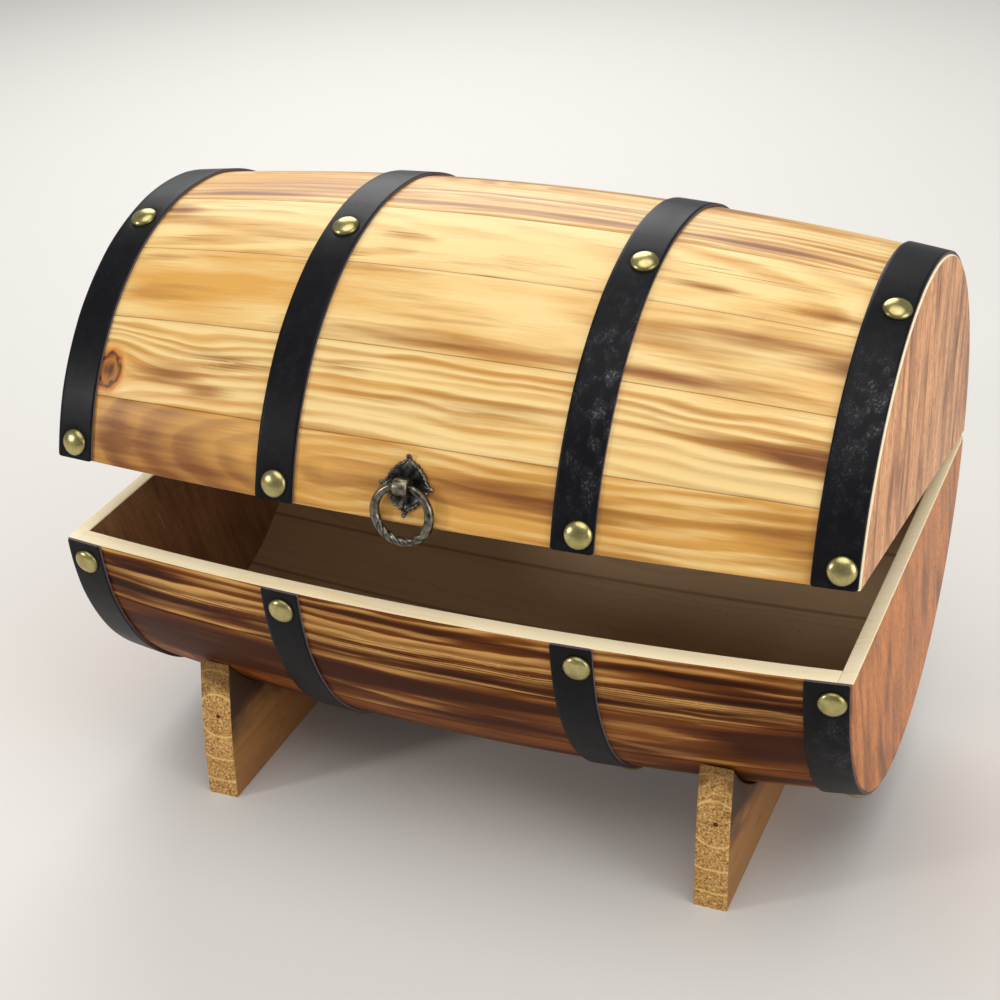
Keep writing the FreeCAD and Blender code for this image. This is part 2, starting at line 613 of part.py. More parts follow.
# The ring pull's plate is flat on the lid's wall. The ring hangs from the eye and leans on the lid's edge.
at_pull = on_wall(value("sizes.pull_offset"), value("sizes.pull_turn"), 0)
PULL = LID_FRONT.multiply(at_pull).multiply(turn(Z_AXIS, 180))
edge_turn = value("sizes.pull_turn * 1 deg - asin(sizes.rim_depth / sizes.mid_radius)")
edge_down = value("sizes.mid_radius * sin(%s)" % edge_turn)
edge_out = value("sizes.eye_reach + sizes.mid_radius * (1 - cos(%s))" % edge_turn)
off_edge = value("sizes.ring_wire / 2 + sizes.ring_space")
ring_lean = math.acos(off_edge / math.hypot(edge_down, edge_out)) - math.atan2(edge_down, edge_out)
EYE = PULL.multiply(shift(0, 0, value("sizes.eye_reach")))
hang = shift(0, 0, -value("sizes.ring_radius * sin(sizes.ring_neck_turn)"))
place(make_back_plate("ring_backplate"), PULL)
place(make_eye("ring_eye"), PULL)
place(make_ring("ring_pull"), EYE.multiply(turn(X_AXIS, math.degrees(ring_lean) - 90)).multiply(hang))

# ---- checks and export ----
doc.recompute()
for item in doc.Objects:
    if "Invalid" in item.State or "Error" in item.State:
        raise RuntimeError("%s (%s) failed: %s" % (item.Label, item.Name, item.State))
for part in SUB_PARTS:
    if part.Shape.isNull() or not part.Shape.isValid() or not part.Shape.Solids:
        raise RuntimeError("%s has no valid shape" % part.Label)
os.makedirs("parts", exist_ok=True)
for part in SUB_PARTS:
    part.Shape.exportStep("parts/%s.step" % part.Label)

print("%d sub-parts" % len(SUB_PARTS))
hinge_height = value("sizes.axis_height - %s" % KNUCKLE_RISE)
print("lid hinge axis through y %.3f, z %.3f" % (value(HINGE_BACK), hinge_height))
print("ring axis through x %.3f, y %.3f, z %.3f" % tuple(EYE.Base))
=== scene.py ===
import functools
import json
import math
import random

import bmesh
import bpy
import numpy as np
from bpy.props import FloatProperty, FloatVectorProperty, IntProperty, PointerProperty
from mathutils import Matrix, Vector


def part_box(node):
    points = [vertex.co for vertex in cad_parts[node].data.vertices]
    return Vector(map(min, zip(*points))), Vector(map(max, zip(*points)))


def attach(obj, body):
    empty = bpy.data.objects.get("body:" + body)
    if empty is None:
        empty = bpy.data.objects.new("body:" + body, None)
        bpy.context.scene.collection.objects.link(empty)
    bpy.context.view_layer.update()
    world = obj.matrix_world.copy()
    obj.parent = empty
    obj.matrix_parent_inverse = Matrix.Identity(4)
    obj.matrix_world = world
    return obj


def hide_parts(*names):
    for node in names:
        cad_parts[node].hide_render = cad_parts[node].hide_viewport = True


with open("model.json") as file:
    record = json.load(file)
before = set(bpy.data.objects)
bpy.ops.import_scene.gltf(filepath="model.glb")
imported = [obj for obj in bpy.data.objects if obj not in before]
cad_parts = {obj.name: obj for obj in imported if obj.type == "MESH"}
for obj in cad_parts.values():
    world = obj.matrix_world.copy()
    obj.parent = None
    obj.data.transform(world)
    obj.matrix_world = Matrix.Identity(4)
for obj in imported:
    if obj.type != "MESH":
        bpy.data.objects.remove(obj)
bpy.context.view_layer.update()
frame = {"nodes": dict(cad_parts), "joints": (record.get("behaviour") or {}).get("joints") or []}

bl_info = {
    "name": "Barrel chest",
    "version": (1, 0, 0),
    "blender": (4, 5, 0),
    "location": "View3D > Sidebar > Chest",
    "description": "A chest made like a barrel on its side, with a hinged lid and a ring pull",
    "category": "Add Mesh",
}

# Lengths are worked out in millimetres and become metres in place_points().
MM = 1000
STAVES = 10
# The hinge's line and the eye's bore, in mm, and how far the lid stands open at rest, in degrees.
JOINTS = {joint["name"]: joint for joint in frame["joints"]}
HINGE = Vector(JOINTS["lid_hinge"]["pos_m"]) * MM
REST_OPENING = -JOINTS["lid_hinge"]["range_deg"][0]
EYE = Vector(JOINTS["ring_swing"]["pos_m"]) * MM


def linear(hex_colour):
    """The linear red, green, blue and alpha of an sRGB hex colour."""
    shares = [int(hex_colour[place:place + 2], 16) / 255 for place in (1, 3, 5)]
    return tuple(share / 12.92 if share <= 0.04045 else ((share + 0.055) / 1.055) ** 2.4
                 for share in shares) + (1.0,)


def length(name, millimetres, description):
    """A length that a user may change."""
    return FloatProperty(name=name, description=description, default=millimetres / MM,
                         unit="LENGTH", precision=5)


def angle(name, degrees, description):
    """An angle that a user may change."""
    return FloatProperty(name=name, description=description, default=math.radians(degrees),
                         subtype="ANGLE")


def colour(name, hex_colour, description):
    """A colour that a user may change."""
    return FloatVectorProperty(name=name, description=description, default=linear(hex_colour),
                               size=4, min=0, max=1, subtype="COLOR")


class ChestSizes(bpy.types.PropertyGroup):
    """Lengths, angles and counts of the chest"""
    chest_length: length("Length", 500, "Over the two end boards")
    mid_radius: length("Middle radius", 172.2, "Outer radius at mid length")
    bend_radius: length("Bend", 1961, "Radius that the staves are bent to")
    stave_wall: length("Stave thickness", 12.2, "Thickness of a stave")
    stave_crown: length("Stave crown", 0.3,
                        "How far a stave's middle lies inside the seams' circle")
    seam_round: length("Seam rounding", 0.7, "Rounding of a stave's long edges")
    rim_depth: length("Rim depth", 8.6, "From a half's axis to its sawn rim")
    axis_height: length("Axis height", 199.1, "Of the base's axis above the table")
    board_thick: length("End board", 8.5, "Thickness of an end board")
    strap_wide: length("Strap width", 25.4, "Width of a leather strap")
    strap_thick: length("Strap thickness", 2.0, "Thickness of a leather strap")
    strap_seat: length("Strap seat", 0.12, "Between a strap and the seams under it")
    strap_inner: length("Inner straps", 92.5, "Middle of an inner strap from mid length")
    strap_inset: length("Outer straps", 1.0, "From an outer strap's edge to the end board's face")
    nail_head: length("Nail head", 17, "Diameter of a domed nail head")
    nail_dome: length("Nail dome", 4.4, "Height of a nail head")
    nail_rise: length("Lid nails", 10.3, "Lid's rim nails above its rim, along the wall")
    nail_drop: length("Base nails", 13.9, "Base's rim nails below its rim, along the wall")
    nail_turn: angle("Shoulder nails", 63, "Angle from the level plane")
    nail_aside: length("Nails aside", 3.2, "Right-hand nails' distance from their strap's middle")
    foot_offset: length("Foot offset", 168.2, "Middle of a foot from mid length")
    foot_thick: length("Foot thickness", 21, "Thickness of a foot's board")
    foot_reach: length("Foot reach", 141.4, "Half a foot's length on the table")
    foot_lean: length("Foot lean", 7.9, "How far a foot's ends come in at the top")
    foot_tall: length("Foot height", 100, "Height of a foot's ends")
    foot_swell: length("Foot swell", 2.4, "How far a foot's ends swell out")
    pull_offset: length("Ring pull offset", 8, "Middle of the ring pull from mid length")
    pull_turn: angle("Ring pull angle", 10.3, "Above the lid's level plane")
    plate_wide: length("Back plate width", 34, "Over its side points")
    plate_tall: length("Back plate height", 37, "Over its upper and lower points")
    ring_radius: length("Ring radius", 17, "Of the ring's centre line")
    ring_wire: length("Ring thickness", 5.8, "Of the ring's lower half")
    ring_neck: length("Ring neck", 4.2, "Thickness of the ring beside the eye")
    strands: IntProperty(name="Strands", description="Strands twisted in the ring's lower part",
                         default=3, min=2, max=5)


class ChestColours(bpy.types.PropertyGroup):
    """Colours of the chest's woods, leather and metals, and of the floor"""
    pine_pale: colour("Pale pine", "#EFCE8B", "Early wood of the lid, under varnish")
    pine_honey: colour("Honey pine", "#D8A04C", "Late wood of the lid, under varnish")
    pine_brown: colour("Browned pine", "#8E5E26", "What the torch leaves of the lid's colour")
    # The base's colours are darker than the lid's: partly heavier torching, partly painted shade of
    # the barrel's underside.
    shaded_base_pale: colour("Base pine", "#D6A25C", "Early wood of the base, under varnish")
    shaded_base_honey: colour("Base honey", "#834716", "Late wood of the base, under varnish")
    shaded_base_brown: colour("Browned base", "#5E3418", "What the torch leaves of the base's colour")
    raw_wood: colour("Raw wood", "#D2B590", "Planed pine inside")
    sawn_wood: colour("Sawn rim", "#FFF3D6", "Freshly sawn pine at the rims")
    lid_board: colour("Lid end board", "#F2B27A", "Stain on the lid's end boards")
    base_board: colour("Base end board", "#D6843C", "Stain on the base's end boards")
    board_streak: colour("Board streak", "#6A3C26", "Dark streaks of the end boards")
    foot_wood: colour("Foot", "#A0703A", "Planed pine of the feet")
    leather: colour("Leather", "#0C0C0E", "Black strap leather")
    leather_edge: colour("Leather edge", "#473B40", "Cut edge of a strap")
    brass: colour("Brass", "#BEB47C", "Antiqued brass of the strap nails")
    pewter: colour("Pewter", "#8A857A", "Antiqued casting of the ring pull's plate")
    table: colour("Table", "#DAD6D0", "Plain floor")


def sizes():
    """The user's lengths in millimetres, angles and counts as they are."""
    group = bpy.context.scene.chest_sizes
    plain = ("nail_turn", "pull_turn", "strands")
    return {name: getattr(group, name) * (1 if name in plain else MM)
            for name in ChestSizes.__annotations__}


def tint(name):
    """One of the user's colours."""
    return tuple(getattr(bpy.context.scene.chest_colours, name))


# ---- the two halves ----
def base_place():
    """The base half's frame: its axis, in millimetres above the table."""
    return Matrix.Translation((0, 0, sizes()["axis_height"]))


def lid_place():
    """The lid half's frame at rest, swung open on the hinge."""
    shut = 2 * HINGE.z - sizes()["axis_height"]
    swing = Matrix.Rotation(math.radians(-REST_OPENING), 4, "X")
    turned = Matrix.Translation(HINGE) @ swing @ Matrix.Translation(-HINGE)
    return turned @ Matrix.Translation((0, 0, shut))


def half_place(half):
    """A half's frame: its wall starts at the front, at -Y, and goes over +Z to the back."""
    if half == "lid":
        return lid_place()
    return base_place() @ Matrix.Scale(-1, 4, (0, 0, 1))


def wall(x):
    """Outer radius of the barrel at x, through the seams."""
    s = sizes()
    return s["mid_radius"] - s["bend_radius"] + np.sqrt(s["bend_radius"] ** 2 - np.square(x))


def crown_drop(turn):
    """How far the wall lies inside the seams' circle at an angle in degrees from the front."""
    across = np.mod(turn, 180 / STAVES) / (180 / STAVES) * 2 - 1
    return sizes()["stave_crown"] * (1 - np.square(across))


def rim_turn(radius):
    """The rim's angle above a half's level plane, in degrees, where the half has that radius."""
    return math.degrees(math.asin(sizes()["rim_depth"] / radius))


# ---- meshes ----
def place_points(points, matrix):
    """Points in millimetres taken through a matrix, as metres."""
    turned = np.asarray(points, float) @ np.array(matrix.to_3x3()).T + np.array(matrix.translation)
    return turned / MM


def add_piece(name, body, points, faces, materials, which=None, facts=None, sharp=35.0):
    """A closed mesh that rides on a body. which gives each face's material, by place in materials.

    facts are values kept on its points for the materials: each is one number or vector for the
    whole piece, or one for each point. An edge stays crisp from the angle sharp, in degrees."""
    mesh = bpy.data.meshes.new(name)
    mesh.from_pydata([tuple(p) for p in points], [], faces)
    for material in materials:
        mesh.materials.append(material)
    if which is not None:
        mesh.polygons.foreach_set("material_index", which)
    for fact, values in (facts or {}).items():
        values = np.asarray(values, float)
        whole = values.shape in ((), (3,))
        if values.shape[-1:] == (3,):
            values = np.broadcast_to(values, (len(points), 3)) if whole else values
            kept = mesh.attributes.new(fact, "FLOAT_VECTOR", "POINT")
            kept.data.foreach_set("vector", values.ravel())
        else:
            values = np.broadcast_to(values, len(points)) if whole else values
            kept = mesh.attributes.new(fact, "FLOAT", "POINT")
            kept.data.foreach_set("value", values.ravel())
    mesh.polygons.foreach_set("use_smooth", [True] * len(mesh.polygons))
    mesh.set_sharp_from_angle(angle=math.radians(sharp))
    turn_outward(mesh)
    piece = bpy.data.objects.new(name, mesh)
    bpy.context.scene.collection.objects.link(piece)
    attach(piece, body)
    return piece


def turn_outward(mesh):
    """Turns a closed mesh's faces outward."""
    work = bmesh.new()
    work.from_mesh(mesh)
    bmesh.ops.recalc_face_normals(work, faces=work.faces)
    work.to_mesh(mesh)
    work.free()


def loft_faces(rows, around, first=0, capped=True):
    """Quads between closed loops with the same number of points, and a face over either end."""
    faces = []
    for row in range(rows - 1):
        a, b = first + row * around, first + (row + 1) * around
        faces += [(a + i, a + (i + 1) % around, b + (i + 1) % around, b + i) for i in range(around)]
    if capped:
        faces.append(tuple(range(first + around - 1, first - 1, -1)))
        faces.append(tuple(range(first + (rows - 1) * around, first + rows * around)))
    return faces


# Steps in which a board's rounded edge turns into its face.
EDGE_STEPS = 3


def inset(outline, depth):
    """A closed outline moved inward by a depth."""
    points = np.array([tuple(p) for p in outline])
    ahead = np.roll(points, -1, axis=0) - points
    ahead /= np.maximum(np.linalg.norm(ahead, axis=1), 1e-9)[:, None]
    behind = np.roll(ahead, 1, axis=0)
    normal = np.stack([-(ahead + behind)[:, 1], (ahead + behind)[:, 0]], axis=1)
    size = np.linalg.norm(normal, axis=1)
    normal /= np.maximum(size, 1e-9)[:, None]
    spread = np.maximum(size / 2, 0.5)
    x, y = points.T
    area = np.sum(x * np.roll(y, -1) - np.roll(x, -1) * y)
    return points + normal * (depth / spread * (1 if area > 0 else -1))[:, None]


def board(outline_at, start, end, edge):
    """Loops of a board from start to end along X, its edges rounded, from its outline at an X."""
    stations = []
    for step in range(EDGE_STEPS, -1, -1):
        turn = math.pi / 2 * step / EDGE_STEPS
        stations.append((start + edge * (1 - math.sin(turn)), edge * (1 - math.cos(turn))))
    stations += [(start + end - x, depth) for x, depth in reversed(stations)]
    loops = []
    for x, depth in stations:
        outline = inset(outline_at(x), depth)
        loops.append(np.column_stack([np.full(len(outline), x), outline]))
    return loops


def spots(marks, along, across):
    """Soft spots added up: each is a place along and across, two half sizes and a strength."""
    total = np.zeros(len(along))
    for u, v, half_long, half_wide, strength in marks:
        far = ((along - u) / half_long) ** 2 + ((across - v) / half_wide) ** 2
        total += strength * np.exp(-far)
    return total


# ---- materials ----
# The Mix node's colour sockets have no names of their own.
UNDER, OVER, MIXED = 6, 7, 2
# Settings that many nodes share: one colour over another, a stain that darkens what is under it, a
# product, and a product with a sum.
COVER = {"data_type": "RGBA"}
STAIN = {"data_type": "RGBA", "blend_type": "MULTIPLY"}
TIMES = {"operation": "MULTIPLY"}
TIMES_PLUS = {"operation": "MULTIPLY_ADD"}
# How far a trunk bends and its rings ripple, in mm along, across and into a board, and the middle
# of both.
TRUNK_BEND = (0, 18, 10)
RING_RIPPLE = (0, 3.4, 2)
BEND_MIDDLE = tuple((bend + ripple) / 2 for bend, ripple in zip(TRUNK_BEND, RING_RIPPLE))


def add(tree, kind, inputs=(), out=0, stops=None, **settings):
    """Adds a node and gives one output. inputs are constants or sockets, in order or by name."""
    made = tree.nodes.new("ShaderNode" + kind)
    for name, value in settings.items():
        setattr(made, name, value)
    for place, value in (inputs.items() if isinstance(inputs, dict) else enumerate(inputs)):
        if isinstance(value, bpy.types.NodeSocket):
            tree.links.new(value, made.inputs[place])
        else:
            made.inputs[place].default_value = value
    if stops:
        while len(made.color_ramp.elements) < len(stops):
            made.color_ramp.elements.new(0.5)
        for element, (position, shade) in zip(made.color_ramp.elements, stops):
            element.position = position
            element.color = shade if isinstance(shade, tuple) else (shade, shade, shade, 1)
    return made.outputs if out is None else made.outputs[out]


def new_material(name):
    """A material with an empty tree, and the function that adds nodes to it."""
    material = bpy.data.materials.new(name)
    material.use_nodes = True
    material.node_tree.nodes.clear()
    return material, functools.partial(add, material.node_tree)


def streaks(node, long, wide, shift, detail=2.0, out=0):
    """A cloudy pattern drawn out along the grain, its marks about so many mm long and wide.

    Each of a material's patterns has a shift of its own, so that no two fall together."""
    grain = node("Attribute", out="Vector", attribute_name="grain")
    place = node("VectorMath", [grain, (1 / long, 1 / wide, 1 / wide), (shift, shift, shift)],
                 **TIMES_PLUS)
    seed = node("Attribute", out="Fac", attribute_name="seed")
    return node("TexNoise", {"Vector": place, "W": seed, "Scale": 1.0, "Detail": detail}, out=out,
                noise_dimensions="4D")


def growth_rings(node):
    """The rings that a board's face cuts: each point's share of a year, and the year's strength."""
    grain = node("Attribute", out="Vector", attribute_name="grain")
    seed = node("Attribute", out="Fac", attribute_name="seed")
    bend = streaks(node, 140, 40, 3.0, out="Color")
    ripple = streaks(node, 42, 8, 8.0, out="Color")
    place = node("VectorMath", [bend, TRUNK_BEND, grain], **TIMES_PLUS)
    place = node("VectorMath", [ripple, RING_RIPPLE, place], **TIMES_PLUS)
    place = node("VectorMath", [place, BEND_MIDDLE], operation="SUBTRACT")
    along, across, depth = node("SeparateXYZ", [place], out=None)
    # how far the point lies from the pith, which runs off the face and swerves
    pith = node("Attribute", out="Vector", attribute_name="pith")
    aside, below, slope = node("SeparateXYZ", [pith], out=None)
    across = node("Math", [across, aside], operation="SUBTRACT")
    depth = node("Math", [along, slope, node("Math", [depth, below])], **TIMES_PLUS)
    depth = node("Math", [depth, node("Attribute", out="Fac", attribute_name="swerve")])
    from_pith = node("VectorMath", [node("CombineXYZ", [across, depth])], out="Value",
                     operation="LENGTH")
    # fat years and lean years
    pace = node("Math", [from_pith, 0.04, seed], **TIMES_PLUS)
    uneven = node("TexNoise", {"W": pace, "Scale": 1.0, "Detail": 2.0}, noise_dimensions="1D")
    gap = node("Attribute", out="Fac", attribute_name="gap")
    years = node("Math", [uneven, 1.4, node("Math", [from_pith, gap], operation="DIVIDE")],
                 **TIMES_PLUS)
    number = node("Math", [node("Math", [years], operation="FLOOR"), seed])
    strength = node("TexWhiteNoise", {"W": number}, noise_dimensions="1D")
    return node("Math", [years], operation="FRACT"), strength


def torch_smoke(node, torch, late):
    """Smoke that feathers out along the fibres round each mark of the torch."""
    feather = streaks(node, 80, 5, 59.0, detail=4.0)
    smoke = node("Math", [feather, 1.4, node("Math", [torch, 0.72], operation="SUBTRACT")],
                 **TIMES_PLUS)
    smoke = node("Math", [late, 0.22, smoke], **TIMES_PLUS)
    return node("ValToRGB", [smoke], stops=[(0.12, 0.0), (1.0, 0.85)])


def browned_bands(node, torch, late, bands):
    """Late wood browned by the flame, more where it dwells, so the bands come and go."""
    dwell = node("Math", [torch, 0.18, streaks(node, 150, 20, 47.0, detail=3.0)], **TIMES_PLUS)
    dwell = node("ValToRGB", [dwell], stops=[(0.38, 0.10), (0.66, 0.7)])
    return node("Math", [node("Math", [late, dwell], **TIMES), bands], **TIMES)


def resin_hairs(node, hairs):
    """Hairlines of resin a millimetre wide, here and there."""
    hair = node("ValToRGB", [streaks(node, 55, 1.0, 71.0, detail=1.0)],
                stops=[(0.62, 0.0), (0.72, 0.8)])
    here = node("ValToRGB", [streaks(node, 90, 14, 83.0)], stops=[(0.46, 0.0), (0.62, 1.0)])
    return node("Math", [node("Math", [hair, here], **TIMES), hairs], **TIMES)


def tight_years(node):
    """Tight lean years: lines under 2 mm apart, broken into dashes where the scraper jumped."""
    dense = node("Attribute", out="Fac", attribute_name="dense")
    place = node("Attribute", out="Vector", attribute_name="grain")
    ripple = streaks(node, 60, 7, 91.0, out="Color")
    place = node("VectorMath", [ripple, (0, 4, 0), place], **TIMES_PLUS)
    across = node("SeparateXYZ", [place], "Y")
    line = node("Math", [node("Math", [across, 0.55], **TIMES)], operation="FRACT")
    line = node("ValToRGB", [line],
                stops=[(0.0, 0.0), (0.5, 0.15), (0.72, 1.0), (0.9, 0.9), (1.0, 0.0)])
    dash = node("ValToRGB", [streaks(node, 5.5, 2.2, 97.0, detail=1.0)],
                stops=[(0.33, 0.15), (0.40, 1.0)])
    return node("Math", [node("Math", [line, dash], **TIMES), dense], **TIMES)


def knot_wood(node):
    """A knot, red-brown and cracked, with a dark rim and an amber halo: its share and colour."""
    knot = node("Attribute", out="Fac", attribute_name="knot")
    crack = streaks(node, 4, 3, 13.0, detail=3.0)
    eye = node("Math", [crack, 0.45, node("Math", [knot, 0.23], operation="SUBTRACT")],
               **TIMES_PLUS)
    eye = node("ValToRGB", [eye], stops=[(0.05, linear("#260C04")), (0.20, linear("#70400F")),
                                         (0.40, linear("#B06C1E")), (0.54, linear("#4A260A")),
                                         (0.64, linear("#C07426")), (0.85, linear("#DCA04A"))])
    return node("ValToRGB", [knot], stops=[(0.74, 1.0), (1.0, 0.0)]), eye


def varnished_pine(name, pale, honey, brown, seam, shine):
    """Torched pine under satin varnish: soft brown marks along the grain and a warm low shine."""
    material, node = new_material(name)
    year, strength = growth_rings(node)
    marks = node("Attribute", out="Vector", attribute_name="marks")
    bands, hairs, tone = node("SeparateXYZ", [marks], out=None)
    torch = node("Attribute", out="Fac", attribute_name="torch")
    late = node("ValToRGB", [year],
                stops=[(0.0, 0.0), (0.22, 0.10), (0.62, 1.0), (0.84, 0.8), (1.0, 0.0)])
    late = node("Math", [late, node("Math", [strength, 0.7, 0.3], **TIMES_PLUS)], **TIMES)
    smoke = torch_smoke(node, torch, late)
    # honey clouds a hand long, fibres under a millimetre wide and the late wood of each year
    cloud = streaks(node, 110, 16, 21.0, detail=3.0)
    fibre = streaks(node, 26, 0.8, 33.0, detail=3.0)
    pull = node("Math", [late, node("Math", [bands, 0.42, 0.16], **TIMES_PLUS)], **TIMES)
    share = node("Math", [fibre, 0.30, node("Math", [cloud, tone])], **TIMES_PLUS)
    share = node("Math", [smoke, 0.5, node("Math", [share, pull])], **TIMES_PLUS)
    share = node("ValToRGB", [share], stops=[(0.58, 0.0), (1.0, 1.0)])
    wood = node("Mix", {0: share, UNDER: pale, OVER: honey}, MIXED, **COVER)
    marks = (browned_bands(node, torch, late, bands), smoke, resin_hairs(node, hairs),
             tight_years(node))
    for mark in marks:
        wood = node("Mix", {0: mark, UNDER: wood, OVER: brown}, MIXED, **STAIN)
    inside, knot = knot_wood(node)
    wood = node("Mix", {0: inside, UNDER: wood, OVER: knot}, MIXED, **COVER)
    # stain lies in the seams
    edge = node("ValToRGB", [node("Attribute", out="Fac", attribute_name="edge")],
                stops=[(0.0, seam), (0.25, seam * 0.3), (0.8, 0.0)])
    wood = node("Mix", {0: edge, UNDER: wood, OVER: brown}, MIXED, **STAIN)
    relief = node("Math", [late, 0.6, fibre], **TIMES_PLUS)
    bump = node("Bump", {"Strength": 0.15, "Distance": 0.0004, "Height": relief})
    surface = node("BsdfPrincipled", {"Base Color": wood, "Roughness": 0.48,
                                      "Specular IOR Level": shine,
                                      "Coat Weight": shine / 3, "Coat Roughness": 0.3,
                                      "Normal": bump})
    node("OutputMaterial", [surface], None)
    return material


def plain_pine(name, pale, honey, roughness, specks=0.0, saw=0.0, seam=0.0):
    """Raw pine: matt, its rings faint, with dark specks where planed or furry marks where sawn."""
    material, node = new_material(name)
    year, strength = growth_rings(node)
    late = node("ValToRGB", [year], stops=[(0.0, 0.0), (0.5, 0.2), (0.85, 1.0), (1.0, 0.0)])
    late = node("Math", [late, strength], **TIMES)
    fibre = streaks(node, 16, 0.9, 5.0, detail=3.0)
    cloud = streaks(node, 120, 30, 15.0)
    share = node("Math", [late, 0.4, node("Math", [fibre, 0.4], **TIMES)], **TIMES_PLUS)
    share = node("Math", [cloud, 0.4, share], **TIMES_PLUS)
    wood = node("Mix", {0: share, UNDER: pale, OVER: honey}, MIXED, **COVER)
    speck = node("ValToRGB", [streaks(node, 4.5, 2.5, 25.0, detail=0.0)],
                 stops=[(0.135, 1.0), (0.16, 0.0)])
    speck = node("Math", [speck, specks], **TIMES)
    edge = node("ValToRGB", [node("Attribute", out="Fac", attribute_name="edge")],
                stops=[(0.0, seam), (0.1, seam * 0.8), (0.3, 0.0)])
    for mark in (speck, edge):
        wood = node("Mix", {0: mark, UNDER: wood, OVER: linear("#3E2412")}, MIXED, **COVER)
    fur = streaks(node, 1.2, 1.2, 35.0)
    relief = node("Math", [fur, saw, fibre], **TIMES_PLUS)
    bump = node("Bump", {"Strength": 0.35, "Distance": 0.0004, "Height": relief})
    surface = node("BsdfPrincipled", {"Base Color": wood, "Roughness": roughness,
                                      "Specular IOR Level": 0.3, "Normal": bump})
    node("OutputMaterial", [surface], None)
    return material


def stained_board(name, stain, rosy, streak):
    """Boards wiped with walnut stain: it lies dark in the open grain, over a low, cloudy shine."""
    material, node = new_material(name)
    broad = node("ValToRGB", [streaks(node, 90, 13, 5.0, detail=4.0)],
                 stops=[(0.46, 0.0), (0.62, 1.0)])
    narrow = node("ValToRGB", [streaks(node, 40, 3.5, 15.0, detail=4.0)],
                  stops=[(0.40, 0.0), (0.72, 1.0)])
    blotch = node("ValToRGB", [streaks(node, 38, 17, 45.0, detail=4.0)],
                  stops=[(0.42, 0.0), (0.70, 1.0)])
    pores = node("ValToRGB", [streaks(node, 4.5, 0.8, 25.0, detail=1.0)],
                 stops=[(0.54, 0.0), (0.66, 1.0)])
    wood = node("Mix", {0: narrow, UNDER: stain, OVER: rosy}, MIXED, **COVER)
    dark = node("Math", [narrow, 0.30, 0.42], **TIMES_PLUS)
    dark = node("Math", [dark, broad], **TIMES)
    dark = node("Math", [blotch, 0.36, dark], **TIMES_PLUS)
    for mark in (dark, node("Math", [pores, 0.60], **TIMES)):
        wood = node("Mix", {0: mark, UNDER: wood, OVER: streak}, MIXED, **COVER)
    # a few pale hairline scratches, some 30 mm long
    scratch = node("ValToRGB", [streaks(node, 34, 0.9, 65.0, detail=0.0)],
                   stops=[(0.80, 0.0), (0.83, 0.6)])
    wood = node("Mix", {0: scratch, UNDER: wood, OVER: linear("#F0D8BC")}, MIXED, **COVER)
    bump = node("Bump", {"Strength": 0.3, "Distance": -0.0003, "Height": pores})
    surface = node("BsdfPrincipled", {"Base Color": wood, "Roughness": 0.5,
                                      "Specular IOR Level": 0.3,
                                      "Coat Weight": 0.06, "Coat Roughness": 0.35, "Normal": bump})
    node("OutputMaterial", [surface], None)
    return material


def strap_leather(name, black, dusty):
    """Rolled harness leather, dyed: near black and satin, a fine pebble and dusty rubbed spots."""
    material, node = new_material(name)
    pebble = streaks(node, 0.9, 0.9, 5.0)
    cloud = streaks(node, 30, 12, 15.0, detail=3.0)
    skin = node("Mix", {0: cloud, UNDER: black, OVER: linear("#141417")}, MIXED, **COVER)
    specks = node("ValToRGB", [streaks(node, 1.4, 1.2, 25.0, detail=3.0)],
                  stops=[(0.52, 0.0), (0.66, 1.0)])
    haze = node("ValToRGB", [streaks(node, 10, 7, 35.0, detail=3.0)],
                stops=[(0.44, 0.0), (0.66, 1.0)])
    wear = node("Attribute", out="Fac", attribute_name="wear")
    dust = node("Math", [node("Math", [specks, 0.8, 0.12], **TIMES_PLUS), haze], **TIMES)
    dust = node("Math", [dust, wear], **TIMES)
    skin = node("Mix", {0: dust, UNDER: skin, OVER: dusty}, MIXED, **COVER)
    rough = node("Math", [dust, 0.35, node("Math", [cloud, 0.12, 0.33], **TIMES_PLUS)],
                 **TIMES_PLUS)
    bump = node("Bump", {"Strength": 0.12, "Distance": 0.0003, "Height": pebble})
    surface = node("BsdfPrincipled", {"Base Color": skin, "Roughness": rough,
                                      "Specular IOR Level": 0.1, "Normal": bump})
    node("OutputMaterial", [surface], None)
    return material


def cut_leather(name, shade):
    """Leather's cut edge: bare fibres, paler than the dyed skin and matt."""
    material, node = new_material(name)
    fibres = streaks(node, 1.5, 0.4, 5.0)
    fibres = node("Mix", {0: fibres, UNDER: shade, OVER: linear("#6B5A5E")}, MIXED, **COVER)
    surface = node("BsdfPrincipled", {"Base Color": fibres, "Roughness": 0.8})
    node("OutputMaterial", [surface], None)
    return material


